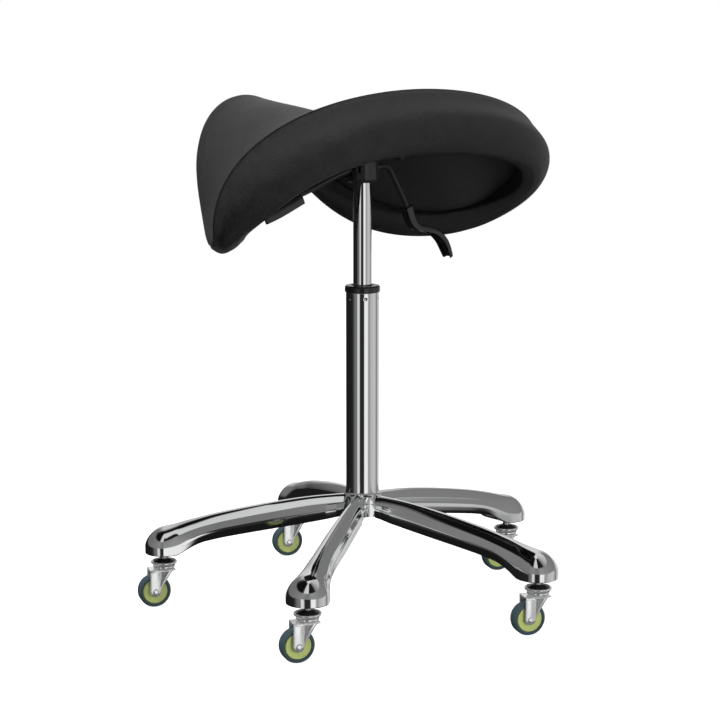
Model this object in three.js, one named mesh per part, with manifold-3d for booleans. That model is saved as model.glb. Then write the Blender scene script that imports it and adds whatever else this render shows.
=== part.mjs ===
// Saddle stool with a gas lift, a five-arm base and twin-leg castors.
// Millimetres, +Z up, floor at z = 0, column axis on the Z axis. The picture was taken from -Y.
import * as THREE from "three";
import { mergeVertices } from "three/addons/utils/BufferGeometryUtils.js";
import Module from "manifold-3d";

const wasm = await Module();
wasm.setup();

// Clearances and cuts
const seatGap = 0.3;
const runningGap = 0.35;
const pressGap = 0.2;
const overrun = 4;
const weldTolerance = 0.0001;

// Facets round the turned pieces
const tubeSides = 24;
const pinSides = 10;
const castorSides = 10;
const wheelSides = 16;
const rodSides = 16;
const rodSegments = 4;
const arcSegments = 3;

// Castor wheel and tyre
const armCount = 5;
const frontArmTurn = THREE.MathUtils.degToRad(-14.57);
const castorTurn = THREE.MathUtils.degToRad(198);
const wheelRadius = 25;
const tyreWall = 5.7;
const tyreWidth = 19;
const tyreShoulder = 2.2;
const wheelFaceWidth = 16.6;
const wheelBossRadius = 6.5;
const wheelBossWidth = 20;
const axleRadius = 3;
const axleHeadRadius = 4.8;
const axleHeadHeight = 2.4;

// Castor fork, stem and cap
const forkTrail = 16;
const forkSheet = 2.3;
const forkLegRadius = 8;
const forkRibHeight = 0.8;
const forkRibInset = 0.9;
const crownGap = 6.5;
const skirtTipRadius = 4;
const skirtTipHeight = 31;
const skirtTipOffset = 9;
const cupFloor = 2.2;
const cupRadius = 17.5;
const cupWall = 2;
const cupRimRadius = 20;
const cupRimHeight = 3.6;
const cupLip = 1.6;
const cupLipHeight = 2.2;
const raceHeight = 5.4;
const sealRise = 3.2;
const sealBevel = 1.8;
const stemRadius = 5.5;
const stemGap = 13;
const stemGrip = 30;
const stemBevel = 1;

// Star base
const stemCircle = 305;
const armRise = 89;
const armHalfWidth = 17;
const armRootRadius = 22;
const footHalfWidth = 31;
const footHalfLength = 28.5;
const footRing = 6;
const footPocket = 11;
const socketWall = 6.5;
const channelWall = 4.5;
const channelRib = 3;
const channelStart = 45;
const channelEnd = 236;
const channelCount = 3;
const hubHeight = 36;
const hubRadius = 31;
const hubNeckWall = 2.6;
const hubFlare = 10;
const hubLip = 3;

// Column: outer tube, guide bush and bottom bearing
const tubeRadius = 25;
const tubeWall = 2;
const tubeLength = 344;
const pistonBelow = 58;
const tubeTaper = 0.6;
const tubeFloor = 6;
const bushFlangeRadius = 26.65;
const bushFlangeHeight = 9.7;
const bushSleeve = 80;
const bushChamfer = 1.2;
const rodRadius = 5;
const rodNeckRadius = 4;
const rodNeckAbove = 9;
const rodReach = tubeLength - pistonBelow;
const rodHeadRadius = 11.6;
const rodHeadHeight = 14;
const bearingRadius = 11;
const bearingHeight = 4;
const washerHeight = 1.6;
const clipRadius = 8;
const clipHeight = 1.2;
const clipMouth = 6;
const clipGroove = 0.7;
const neckTail = 3;

// Lift: pressure tube and release button
const liftRadius = 14;
const liftWall = 2;
const liftLength = 332;
const liftExposed = 155;
const liftTaperLength = 60;
const liftTopRadius = 12.6;
const liftGland = 16;
const liftGrip = 27;
const buttonRadius = 4;
const buttonLength = 25;
const buttonRise = 4;
const buttonRoom = 4.6;
const valveFloor = 6;

// Mechanism housing
const housingHalfWidth = 24.5;
const housingRound = 5;
const housingFront = 54;
const housingHeight = 35;
const housingNoseRise = 7;
const socketBoss = 16.4;
const chamberHalfWidth = 19.5;
const chamberHalfLength = 17.5;
const chamberFloor = 24;
const noseWall = 5;
const noseFloor = 4;
const tiltPinForward = 42;
const tiltPinRise = 19;
const tiltPinRadius = 4;
const tiltPinHead = 6;
const tiltPinHeadHeight = 2.4;
const leverPivotOut = 20.6;
const leverPivotRise = 20;
const leverPinRadius = 2;
const leverPinLength = 26;
const leverHubRadius = 3.8;
const leverHubWidth = 8;
const leverSwingRoom = 3;

// Levers: rods and hand paddles, in the upright plane across the mechanism
const leverRodRadius = 4;
const fingerThickness = 5;
const fingerWidth = 6;
const liftReachShare = 0.5395;
const liftRodShares = [
  [0.177, 0.008],
  [0.23, 0.014],
  [0.27, 0.01],
  [0.302, -0.012],
  [0.356, -0.098],
  [0.482, -0.315],
  [0.512, -0.374],
  [0.54, -0.44],
];
const liftPaddleShares = [
  [0.506, -0.358],
  [0.532, -0.42],
  [0.566, -0.495],
  [0.624, -0.542],
  [0.706, -0.56],
  [0.824, -0.6],
  [0.918, -0.677],
  [0.977, -0.783],
  [1, -0.836],
];
const liftPaddleWidthShares = [0.66, 0.66, 0.74, 0.9, 1, 1, 1, 0.95, 0.8];
const liftPaddleThickShares = [1, 1, 0.9, 0.72, 0.66, 0.66, 0.66, 0.6, 0.5];
const tiltReachShare = 0.584;
const tiltRodShares = [
  [0.272, -0.049],
  [0.489, -0.13],
  [0.717, -0.207],
];
const tiltPaddleShares = [
  [0.63, -0.207],
  [0.76, -0.258],
  [0.89, -0.31],
  [1, -0.353],
];
const tiltPaddleWidthShares = [0.8, 0.9, 0.95, 0.9];
const tiltPaddleThickShares = [0.95, 1, 1, 0.85];
const paddleWidth = 24;
const paddleThickness = 14;
const paddleWall = 2.6;
const paddleSleeve = 3;

// Seat plate and its bolts
const plateRise = 39.7;
const plateSheet = 3.5;
const plateHalfWidth = 45;
const plateHalfLength = 62;
const plateCorner = 10;
const plateWindow = 17;
const lugSheet = 3;
const lugRadius = 9;
const lugHalfWidth = 16;
const boltRadius = 4;
const boltHeadRadius = 6.5;
const boltHeadHeight = 5;
const boltAcross = 36.5;
const boltAlong = 46;
const boltBite = 11;
const boltSocket = 2.6;

// Seat: the saddle sheet that pad, shell and lining all follow
const seatTurn = Math.PI + 0.68;
const archHalf = 320;
const seatRear = 155.3;
const seatFront = 287.3;
const seatBack = -17;
const middleFoldAngle = 1.174;
const rearFoldAngle = 0.497;
const frontFoldAngle = 2.9;
const foldPower = 0.957;
const rearRise = 40.4;
const rearRisePower = 1.94;
const rearHoldShare = -0.434;
const frontRise = 20.1;
const frontRisePower = 3.5;
const frontHoldShare = 0.503;
const wingSweep = -21.5;
const rearSquarePower = 3.35;
const frontSquarePower = 2.34;
const frontTaperShare = 0.157;
const wingPower = 7;
const foldSegments = 12;
const slopeStep = 1;

// Seat pad, shell and lining
const padSides = 30;
const padTopShares = [0.16, 0.36, 0.56, 0.74, 0.88];
const padBandShares = [0.14, 0.3, 0.46, 0.62, 0.78, 0.9, 1];
const innerShares = [1, 0.82, 0.62, 0.44, 0.27, 0.1];
const padCrown = 3.2;
const rearRimDepth = 91.7;
const frontRimDepth = 77;
const wingDepth = 46.3;
const rimBulge = 24;
const bulgePower = 1.27;
const rimLip = 13.8;
const lipRound = 4;
const recessInset = 34.6;
const seamDepth = 1.8;
const seamHalf = 2.4;
const foamMiddle = 36;
const foamWing = 15;
const shellSheet = 11.7;
const shellTrim = 0.7;
const liningTrim = 1.4;
const liningSheet = 2;
const shellPadDrop = 59.7;

// Heights that follow from the sizes above
const headHeight = 2 * wheelRadius + crownGap + forkSheet + cupFloor + raceHeight + 2 * seatGap + cupLipHeight + sealBevel;
const footHeight = headHeight + stemGap;
const hubBottom = footHeight + armRise - hubHeight + hubLip;
const hubTop = hubBottom + hubHeight;
const tubeBottom = hubBottom;
const tubeTop = tubeBottom + tubeLength;
const bushTop = tubeTop + seatGap + bushFlangeHeight;
const socketBottom = bushTop + liftExposed;
const leverPivotHeight = socketBottom + leverPivotRise;
const plateBottom = socketBottom + plateRise;
const shellPadFace = plateBottom + plateSheet + seatGap;
const seatHeight = shellPadFace + shellPadDrop;

// Materials
function material(color, roughness, metalness) {
  return new THREE.MeshStandardMaterial({ color, roughness, metalness });
}
const chrome = material(0xd8dadc, 0.08, 1);
const steel = material(0xa9acb0, 0.35, 1);
const zinc = material(0xc4c6c9, 0.3, 1);
const blackPlastic = material(0x18191b, 0.45, 0);
const blackSteel = material(0x1b1c1e, 0.4, 0.6);
const leatherette = material(0x2b2c2e, 0.55, 0);
const lining = material(0x17181a, 0.9, 0);
const greenPlastic = material(0x83924f, 0.4, 0);
const greyRubber = material(0x35444b, 0.6, 0);
const plywood = material(0xb08a5c, 0.65, 0);

// A three.js geometry as a manifold-3d solid, with its seams merged and its slivers left out.
function toSolid(geometry) {
  const bare = geometry.clone();
  bare.deleteAttribute("normal");
  bare.deleteAttribute("uv");
  const merged = mergeVertices(bare, weldTolerance);
  const index = merged.index.array;
  const triangles = [];
  for (let i = 0; i < index.length; i += 3) {
    const [a, b, c] = index.slice(i, i + 3);
    if (a !== b && b !== c && c !== a) triangles.push(a, b, c);
  }
  return new wasm.Manifold(
    new wasm.Mesh({
      numProp: 3,
      vertProperties: merged.attributes.position.array,
      triVerts: new Uint32Array(triangles),
    }),
  );
}

function toGeometry(solid) {
  const mesh = solid.getMesh();
  const geometry = new THREE.BufferGeometry();
  geometry.setAttribute("position", new THREE.BufferAttribute(mesh.vertProperties, 3));
  geometry.setIndex(new THREE.BufferAttribute(mesh.triVerts, 1));
  geometry.computeVertexNormals();
  return geometry;
}

function joinAll(solids) {
  return solids.reduce((whole, piece) => whole.add(piece));
}

// Named meshes are collected in nested groups.
function addPiece(group, name, shape, look) {
  const geometry = shape.isBufferGeometry ? shape : toGeometry(shape);
  const mesh = new THREE.Mesh(geometry, look);
  mesh.name = name;
  group.add(mesh);
  return mesh;
}

// A profile of [radius, height] pairs, anticlockwise, turned about the Z axis.
function turned(profile, sides) {
  const points = profile.map(([r, h]) => new THREE.Vector2(r, h));
  return toSolid(new THREE.LatheGeometry(points, sides).rotateX(Math.PI / 2));
}

// The same, lying along the Y axis and centred on a point of the XZ plane.
function turnedAcross(profile, sides, x, z) {
  return turned(profile, sides).rotate([-90, 0, 0]).translate([x, 0, z]);
}

function drum(radius, bottom, top, sides) {
  return turned(
    [
      [0, bottom],
      [radius, bottom],
      [radius, top],
      [0, top],
    ],
    sides,
  );
}

// The radius of a faceted bore whose flats clear a round piece of the given radius.
function clearRadius(radius, sides) {
  return radius / Math.cos(Math.PI / sides);
}

function block(x0, x1, y0, y1, z0, z1) {
  const box = new THREE.BoxGeometry(x1 - x0, y1 - y0, z1 - z0);
  return toSolid(box.translate((x0 + x1) / 2, (y0 + y1) / 2, (z0 + z1) / 2));
}

// A flat outline in the XZ plane, with a thickness centred on y.
function upright(shape, thickness, y) {
  const plate = new THREE.ExtrudeGeometry(shape, { depth: thickness, bevelEnabled: false, curveSegments: arcSegments });
  return toSolid(plate.translate(0, 0, -thickness / 2).rotateX(Math.PI / 2).translate(0, y, 0));
}

// Closed rings of equal count joined into one skin, each end closed to the ring's centre.
// Each quad is split along its shorter diagonal, so that skins with parallel rings get parallel facets.
function loft(rings) {
  const sides = rings[0].length;
  const points = rings.flat();
  const index = [];
  rings.slice(1).forEach((ring, r) => {
    for (let i = 0; i < sides; i += 1) {
      const a = r * sides + i;
      const b = r * sides + ((i + 1) % sides);
      const c = a + sides;
      const d = b + sides;
      const alongAD = points[a].distanceTo(points[d]) < points[b].distanceTo(points[c]);
      index.push(...(alongAD ? [a, b, d, a, d, c] : [a, b, c, b, d, c]));
    }
  });
  [0, rings.length - 1].forEach((r) => {
    const centre = new THREE.Vector3();
    rings[r].forEach((p) => centre.addScaledVector(p, 1 / sides));
    const hub = points.push(centre) - 1;
    for (let i = 0; i < sides; i += 1) {
      const a = r * sides + i;
      const b = r * sides + ((i + 1) % sides);
      index.push(...(r === 0 ? [hub, b, a] : [hub, a, b]));
    }
  });
  const geometry = new THREE.BufferGeometry().setFromPoints(points);
  geometry.setIndex(index);
  const solid = toSolid(geometry);
  if (solid.volume() > 0) return solid;
  geometry.setIndex(index.reverse());
  return toSolid(geometry);
}

const stool = new THREE.Group();
const root = new THREE.Group();
stool.add(root);

// Star base. Each row of arm shares holds reach, top, underside and half-width at one station.
const armShares = [
  [0.0, 1.0, 0.64, 0.8],
  [0.2, 0.955, 0.53, 0.86],
  [0.4, 0.87, 0.43, 0.96],
  [0.58, 0.77, 0.34, 1.0],
  [0.72, 0.68, 0.26, 1.02],
  [0.81, 0.61, 0.19, 1.08],
  [0.87, 0.555, 0.1, 1.24],
  [0.915, 0.51, 0.02, 1.5],
  [0.955, 0.465, 0.0, 1.72],
];
const tipTurns = [0, 0.45, 0.85, 1.2];
const crownShares = [
  [0.36, 0.97],
  [0.62, 0.88],
  [0.82, 0.73],
  [0.84, 0.62],
  [1.0, 0.4],
  [0.97, 0.12],
  [0.93, 0.0],
];
const bellShares = [
  [0.4, 0.97],
  [0.7, 0.87],
  [0.88, 0.7],
  [0.95, 0.55],
  [1.0, 0.34],
  [1.0, 0.1],
  [0.985, 0.0],
];

function armRing(reach, top, under, half, bell) {
  const height = top - under;
  const side = crownShares.map(([across, up], i) => {
    const y = half * THREE.MathUtils.lerp(across, bellShares[i][0], bell);
    const z = under + height * THREE.MathUtils.lerp(up, bellShares[i][1], bell);
    return new THREE.Vector3(reach, y, z);
  });
  const ridge = new THREE.Vector3(reach, 0, top);
  const keel = new THREE.Vector3(reach, 0, under);
  const mirrored = side.map((p) => new THREE.Vector3(p.x, -p.y, p.z)).reverse();
  return [ridge, ...side, keel, ...mirrored];
}

function armStation(row) {
  const [reach, top, under, half] = row;
  return {
    reach: THREE.MathUtils.lerp(armRootRadius, stemCircle, reach),
    top: footHeight + armRise * top,
    under: footHeight + armRise * under,
    half: armHalfWidth * half,
    bell: THREE.MathUtils.smoothstep(reach, armShares[4][0], armShares[8][0]),
  };
}

// The foot's rounded tip goes on from the last station in turns of one ellipse.
function tipStation(turn) {
  const shoulder = armShares[8][1];
  return {
    reach: stemCircle + footHalfLength * Math.sin(turn),
    top: footHeight + armRise * shoulder * Math.cos(turn * turn * 0.68) ** 0.8 * (0.9 + 0.1 * Math.cos(turn)),
    under: footHeight,
    half: footHalfWidth * Math.cos(turn),
    bell: 1,
  };
}

const armStations = [...armShares.map(armStation), ...tipTurns.map(tipStation)];

function starArm() {
  return loft(armStations.map((s) => armRing(s.reach, s.top, s.under, s.half, s.bell)));
}

// Half-width and underside of the arm at any reach, for what is cut from below.
function armAt(reach) {
  const next = armStations.findIndex((s) => s.reach >= reach);
  const a = armStations[next - 1];
  const b = armStations[next];
  const share = (reach - a.reach) / (b.reach - a.reach);
  const mix = (key) => THREE.MathUtils.lerp(a[key], b[key], share);
  return { half: mix("half"), under: mix("under"), top: mix("top") };
}

// Open channels under each arm, parted by cross ribs that are left standing.
function armChannels() {
  const length = (channelEnd - channelStart - channelRib * (channelCount - 1)) / channelCount;
  const channelDepthShare = 0.62;
  const roofShare = 0.66;
  const cuts = [];
  for (let i = 0; i < channelCount; i += 1) {
    const start = channelStart + i * (length + channelRib);
    const rings = [0, 1].map((share) => {
      const reach = start + share * length;
      const arm = armAt(reach);
      const half = arm.half - channelWall;
      const roof = arm.under + (arm.top - arm.under) * channelDepthShare;
      return [
        new THREE.Vector3(reach, half, arm.under - overrun),
        new THREE.Vector3(reach, half * roofShare, roof),
        new THREE.Vector3(reach, -half * roofShare, roof),
        new THREE.Vector3(reach, -half, arm.under - overrun),
      ];
    });
    cuts.push(loft(rings));
  }
  return cuts;
}

function footCuts() {
  const socketBore = clearRadius(stemRadius + pressGap, pinSides);
  const socket = drum(socketBore, footHeight - overrun, footHeight + stemGrip + seatGap, pinSides);
  const inner = stemRadius + socketWall;
  const outer = footHalfLength - footRing;
  const pocket = turned(
    [
      [inner, footHeight - overrun],
      [outer, footHeight - overrun],
      [outer - channelWall, footHeight + footPocket],
      [inner, footHeight + footPocket],
      [inner, footHeight - overrun],
    ],
    castorSides,
  );
  return [socket, pocket].map((cut) => cut.translate([stemCircle, 0, 0]));
}

function starBase() {
  const neck = tubeRadius + hubNeckWall;
  const hub = turned(
    [
      [0, hubBottom],
      [hubRadius, hubBottom],
      [hubRadius, hubTop - hubFlare * 2],
      [neck + (hubRadius - neck) * 0.35, hubTop - hubFlare],
      [neck, hubTop - hubLip],
      [neck - hubLip / 3, hubTop],
      [0, hubTop],
    ],
    tubeSides,
  );
  const degrees = 360 / armCount;
  const armDegrees = (i) => THREE.MathUtils.radToDeg(frontArmTurn) - 90 + i * degrees;
  const turns = Array.from({ length: armCount }, (_, i) => armDegrees(i));
  const arms = turns.map((turn) => starArm().rotate([0, 0, turn]));
  const cuts = turns.flatMap((turn) => [...armChannels(), ...footCuts()].map((cut) => cut.rotate([0, 0, turn])));
  const bore = turned(
    [
      [0, hubBottom - overrun],
      [tubeRadius - tubeTaper + pressGap, hubBottom - overrun],
      [tubeRadius - tubeTaper + pressGap, hubBottom],
      [tubeRadius + pressGap, hubTop],
      [tubeRadius + pressGap, hubTop + armRise],
      [0, hubTop + armRise],
    ],
    tubeSides,
  );
  return joinAll([hub, ...arms]).subtract(joinAll([bore, ...cuts]));
}
addPiece(root, "star_base", starBase(), chrome);

// Column: outer tube with its tapered foot and bottom plate
function columnTube() {
  const outer = turned(
    [
      [0, tubeBottom],
      [tubeRadius - tubeTaper, tubeBottom],
      [tubeRadius, hubTop],
      [tubeRadius, tubeTop],
      [0, tubeTop],
    ],
    tubeSides,
  );
  const inside = drum(tubeRadius - tubeWall, tubeBottom + tubeFloor, tubeTop + overrun, tubeSides);
  const neckHole = drum(rodNeckRadius + runningGap, tubeBottom - overrun, tubeTop, pinSides);
  return outer.subtract(inside).subtract(neckHole);
}
addPiece(root, "column_tube", columnTube(), chrome);

const bushBottom = tubeTop - bushSleeve;
addPiece(
  root,
  "guide_bush",
  turned(
    [
      [liftRadius + runningGap, bushBottom],
      [tubeRadius - tubeWall - seatGap, bushBottom],
      [tubeRadius - tubeWall - seatGap, tubeTop + seatGap],
      [bushFlangeRadius, tubeTop + seatGap],
      [bushFlangeRadius, bushTop - bushChamfer],
      [bushFlangeRadius - bushChamfer, bushTop],
      [liftRadius + runningGap, bushTop],
      [liftRadius + runningGap, bushBottom],
    ],
    tubeSides,
  ),
  blackPlastic,
);

// Swivel body: rod, thrust bearing and the clip that holds the rod in the bottom plate
const swivel = new THREE.Group();
stool.add(swivel);
const bearingBottom = tubeBottom + tubeFloor + seatGap;
const washerBottom = bearingBottom + bearingHeight + seatGap;
const shoulderHeight = washerBottom + washerHeight + seatGap;
const washerUnder = tubeBottom - seatGap - washerHeight;
const clipBottom = washerUnder - seatGap - clipHeight;
const neckBottom = clipBottom - neckTail;

function ring(inner, outer, bottom, height, sides) {
  return turned(
    [
      [inner, bottom],
      [outer, bottom],
      [outer, bottom + height],
      [inner, bottom + height],
      [inner, bottom],
    ],
    sides,
  );
}

function pistonRod() {
  const headBottom = shoulderHeight + rodReach - rodHeadHeight;
  const grooveRadius = rodNeckRadius - clipGroove;
  return turned(
    [
      [0, neckBottom],
      [rodNeckRadius, neckBottom],
      [rodNeckRadius, clipBottom - seatGap],
      [grooveRadius, clipBottom - seatGap],
      [grooveRadius, clipBottom + clipHeight + seatGap / 2],
      [rodNeckRadius, clipBottom + clipHeight + seatGap / 2],
      [rodNeckRadius, shoulderHeight],
      [rodRadius, shoulderHeight],
      [rodRadius, headBottom],
      [rodHeadRadius, headBottom],
      [rodHeadRadius, headBottom + rodHeadHeight],
      [0, headBottom + rodHeadHeight],
    ],
    rodSides,
  );
}
addPiece(swivel, "piston_rod", pistonRod(), steel);

function clip() {
  const inner = rodNeckRadius - clipGroove + pressGap;
  const body = ring(inner, clipRadius, clipBottom, clipHeight, rodSides);
  const mouth = block(0, clipRadius + overrun, -clipMouth / 2, clipMouth / 2, clipBottom - overrun, washerUnder);
  return body.subtract(mouth);
}
addPiece(swivel, "rod_clip", clip(), steel);
const neckBore = rodNeckRadius + pressGap;
addPiece(swivel, "bottom_washer", ring(neckBore, bearingRadius, washerUnder, washerHeight, rodSides), steel);
addPiece(swivel, "top_washer", ring(neckBore, bearingRadius, washerBottom, washerHeight, rodSides), steel);

// The bearing is a flat cage with one ring of balls that stand proud of it.
function thrustBearing() {
  const ballCount = 6;
  const ballRadius = bearingHeight / 2;
  const pitch = (neckBore + bearingRadius) / 2 + ballRadius / 4;
  const cageHeight = bearingHeight / 2;
  const cageBottom = bearingBottom + bearingHeight / 4;
  const cage = ring(neckBore + pressGap, bearingRadius, cageBottom, cageHeight, rodSides);
  const balls = Array.from({ length: ballCount }, (_, i) => {
    const turn = (i * 2 * Math.PI) / ballCount;
    const ball = new THREE.SphereGeometry(ballRadius, 5, 3);
    ball.translate(pitch * Math.cos(turn), pitch * Math.sin(turn), bearingBottom + ballRadius);
    return toSolid(ball);
  });
  return joinAll([cage, ...balls]);
}
addPiece(swivel, "thrust_bearing", thrustBearing(), steel);

// Lift body: pressure tube, release button, mechanism and levers. Lateral is local X, rear is local +Y.
const lift = new THREE.Group();
lift.rotation.z = seatTurn;
stool.add(lift);
const liftTop = socketBottom + liftGrip;
const liftBottom = liftTop - liftLength;
const taperStart = liftTop - liftTaperLength;

function pressureTube() {
  const outer = turned(
    [
      [0, liftBottom],
      [liftRadius, liftBottom],
      [liftRadius, taperStart],
      [liftTopRadius, liftTop],
      [0, liftTop],
    ],
    tubeSides,
  );
  const buttonHole = liftTop + buttonRise - buttonLength - buttonRoom;
  const chamber = drum(liftRadius - liftWall, liftBottom + liftGland, buttonHole - valveFloor, rodSides);
  const gland = drum(rodRadius + runningGap, liftBottom - overrun, liftTop - liftTaperLength, rodSides);
  const hole = drum(buttonRadius + runningGap, buttonHole, liftTop + overrun, rodSides);
  return outer.subtract(chamber).subtract(gland).subtract(hole);
}
addPiece(lift, "pressure_tube", pressureTube(), chrome);
const buttonTop = liftTop + buttonRise;
addPiece(lift, "release_button", drum(buttonRadius, buttonTop - buttonLength, buttonTop, rodSides), steel);

// Socket radius at a height, the same taper as the tube's top.
function socketRadius(height) {
  const share = (height - taperStart) / (liftTop - taperStart);
  return THREE.MathUtils.lerp(liftRadius, liftTopRadius, share) + pressGap;
}

function mechanismHousing() {
  const top = socketBottom + housingHeight;
  const noseBottom = socketBottom + housingNoseRise;
  const cup = turned(
    [
      [0, socketBottom],
      [housingHalfWidth - housingRound, socketBottom],
      [housingHalfWidth - housingRound * 0.3, socketBottom + housingRound * 0.3],
      [housingHalfWidth, socketBottom + housingRound],
      [housingHalfWidth, top],
      [0, top],
    ],
    tubeSides,
  );
  const nose = block(-housingHalfWidth, housingHalfWidth, -housingFront, 0, noseBottom, top);
  const noseInside = housingHalfWidth - noseWall;
  const pocket = block(
    -noseInside,
    noseInside,
    noseWall - housingFront,
    -chamberHalfLength - noseWall,
    noseBottom + noseFloor,
    top + overrun,
  );
  const chamberCut = block(
    -chamberHalfWidth,
    chamberHalfWidth,
    -chamberHalfLength,
    chamberHalfLength,
    leverPivotHeight - leverHubRadius - seatGap * 2,
    top + overrun,
  );
  const boss = drum(socketBoss, socketBottom + housingRound, socketBottom + chamberFloor, tubeSides);
  const slotHalf = leverHubWidth / 2 + runningGap;
  const slotFloor = leverPivotHeight - leverRodRadius - leverSwingRoom;
  const slots = [-1, 1].map((side) => {
    const outside = side * (housingHalfWidth + overrun);
    const inside = side * (leverPivotOut - leverHubRadius - seatGap * 2);
    return block(Math.min(outside, inside), Math.max(outside, inside), -slotHalf, slotHalf, slotFloor, top + overrun);
  });
  const bore = turned(
    [
      [0, socketBottom - overrun],
      [socketRadius(socketBottom - overrun), socketBottom - overrun],
      [socketRadius(top + overrun), top + overrun],
      [0, top + overrun],
    ],
    tubeSides,
  );
  const pinReach = housingHalfWidth + overrun;
  const tiltHole = pinAlongX(tiltPinRadius + runningGap, -pinReach, pinReach, -tiltPinForward, tiltPinHeight, rodSides);
  const leverHoles = [-1, 1].map((side) =>
    turnedAcross(pinProfile(leverPinRadius + pressGap, leverPinLength / 2 + seatGap), pinSides, side * leverPivotOut, leverPivotHeight),
  );
  return joinAll([cup, nose])
    .subtract(chamberCut)
    .add(boss)
    .subtract(joinAll([pocket, bore, tiltHole, ...slots, ...leverHoles]));
}

// A plain pin profile from -half to +half along its axis.
function pinProfile(radius, half) {
  return [
    [0, -half],
    [radius, -half],
    [radius, half],
    [0, half],
  ];
}

const tiltPinHeight = socketBottom + tiltPinRise;
function pinAlongX(radius, x0, x1, y, z, sides) {
  return drum(radius, x0, x1, sides).rotate([0, 90, 0]).translate([0, y, z]);
}
addPiece(lift, "mechanism_housing", mechanismHousing(), blackSteel);

function tiltPin() {
  const outside = housingHalfWidth + seatGap + lugSheet + seatGap;
  const end = outside + tiltPinHeadHeight;
  const pin = turned(
    [
      [0, -end],
      [tiltPinHead, -end],
      [tiltPinHead, -outside],
      [tiltPinRadius, -outside],
      [tiltPinRadius, outside],
      [tiltPinHead, outside],
      [tiltPinHead, end],
      [0, end],
    ],
    rodSides,
  );
  return pin.rotate([0, 90, 0]).translate([0, -tiltPinForward, tiltPinHeight]);
}
addPiece(lift, "tilt_pin", tiltPin(), zinc);

// A lever's centre line, from shares of its reach that run out from the column and up from the pivot.
function leverLine(reach, shares) {
  return shares.map(([out, up]) => new THREE.Vector3(reach * out, 0, leverPivotHeight + reach * up));
}

// A rod's line starts in its hub, at the pivot, whatever the reach.
function rodCurve(reach, shares) {
  const start = new THREE.Vector3(leverPivotOut, 0, leverPivotHeight);
  return new THREE.CatmullRomCurve3([start, ...leverLine(reach, shares)]);
}

function handCurve(reach, shares) {
  return new THREE.CatmullRomCurve3(leverLine(reach, shares));
}

function bentRod(curve, radius, segments) {
  const shape = new THREE.Shape();
  shape.absarc(0, 0, radius, 0, 2 * Math.PI);
  return toSolid(
    new THREE.ExtrudeGeometry(shape, { steps: segments, curveSegments: rodSegments, extrudePath: curve, bevelEnabled: false }),
  );
}

// The part of a lever inside the housing: a drilled hub, and a finger that reaches over the button.
function leverFinger(fingerReach) {
  const fingerUnder = buttonTop + seatGap - leverPivotHeight;
  const outer = leverPivotOut + leverHubRadius;
  const inner = leverPivotOut - leverHubRadius * 0.8;
  const shape = new THREE.Shape();
  shape.moveTo(outer, 0);
  shape.lineTo(outer, fingerUnder);
  shape.lineTo(outer - fingerThickness, fingerUnder + fingerThickness);
  shape.lineTo(fingerReach, fingerUnder + fingerThickness);
  shape.lineTo(fingerReach, fingerUnder);
  shape.lineTo(inner, fingerUnder);
  shape.lineTo(inner, 0);
  shape.closePath();
  const finger = upright(shape, fingerWidth, 0).translate([0, 0, leverPivotHeight]);
  const hub = turnedAcross(pinProfile(leverHubRadius, leverHubWidth / 2), pinSides, leverPivotOut, leverPivotHeight);
  return finger.add(hub);
}

function leverRod(curve, fingerReach, segments) {
  const whole = leverFinger(fingerReach).add(bentRod(curve, leverRodRadius, segments));
  const pinHole = pinProfile(leverPinRadius + runningGap, leverHubWidth);
  return whole.subtract(turnedAcross(pinHole, pinSides, leverPivotOut, leverPivotHeight));
}

// A hand paddle: a widening channel, open below, with a closed sleeve round the rod.
function paddleRings(curve, widths, thicks, trim, drop) {
  const stations = Math.round((widths.length - 1) * 1.5);
  return Array.from({ length: stations + 1 }, (_, i) => {
    const share = i / stations;
    const centre = curve.getPoint(share);
    const along = curve.getTangent(share);
    const up = new THREE.Vector3(-along.z, 0, along.x);
    if (i === stations) centre.addScaledVector(along, drop);
    const slot = Math.min(Math.floor(share * (widths.length - 1)), widths.length - 2);
    const part = share * (widths.length - 1) - slot;
    const half = (paddleWidth * THREE.MathUtils.lerp(widths[slot], widths[slot + 1], part)) / 2 - trim;
    const thick = (paddleThickness * THREE.MathUtils.lerp(thicks[slot], thicks[slot + 1], part)) / 2;
    const corners = [
      [1, -thick - drop],
      [1, thick * 0.35 - trim],
      [0.72, thick - trim],
      [-0.72, thick - trim],
      [-1, thick * 0.35 - trim],
      [-1, -thick - drop],
    ];
    return corners.map(([side, lift]) => centre.clone().addScaledVector(up, lift).add(new THREE.Vector3(0, side * half, 0)));
  });
}

function paddle(curve, widths, thicks, rodLine, closedShare, segments) {
  const body = loft(paddleRings(curve, widths, thicks, 0, 0));
  const rings = paddleRings(curve, widths, thicks, paddleWall, overrun);
  const hollow = loft(rings.slice(Math.round((rings.length - 1) * closedShare)));
  const rodRoom = bentRod(rodLine, leverRodRadius + pressGap, segments);
  return body.subtract(hollow).subtract(rodRoom);
}

const liftRodSegments = 13;
const tiltRodSegments = 5;
const liftClosedShare = 0.333;
const tiltClosedShare = 0.4;
const liftLeverReach = archHalf * liftReachShare;
const tiltLeverReach = archHalf * tiltReachShare;
const levers = [
  {
    name: "lift",
    rod: rodCurve(liftLeverReach, liftRodShares),
    hand: handCurve(liftLeverReach, liftPaddleShares),
    widths: liftPaddleWidthShares,
    thicks: liftPaddleThickShares,
    closedShare: liftClosedShare,
    segments: liftRodSegments,
    fingerReach: -buttonRadius / 2,
    degrees: 180,
  },
  {
    name: "tilt",
    rod: rodCurve(tiltLeverReach, tiltRodShares),
    hand: handCurve(tiltLeverReach, tiltPaddleShares),
    widths: tiltPaddleWidthShares,
    thicks: tiltPaddleThickShares,
    closedShare: tiltClosedShare,
    segments: tiltRodSegments,
    fingerReach: leverPivotOut - leverHubRadius * 2,
    degrees: 0,
  },
];
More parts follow.
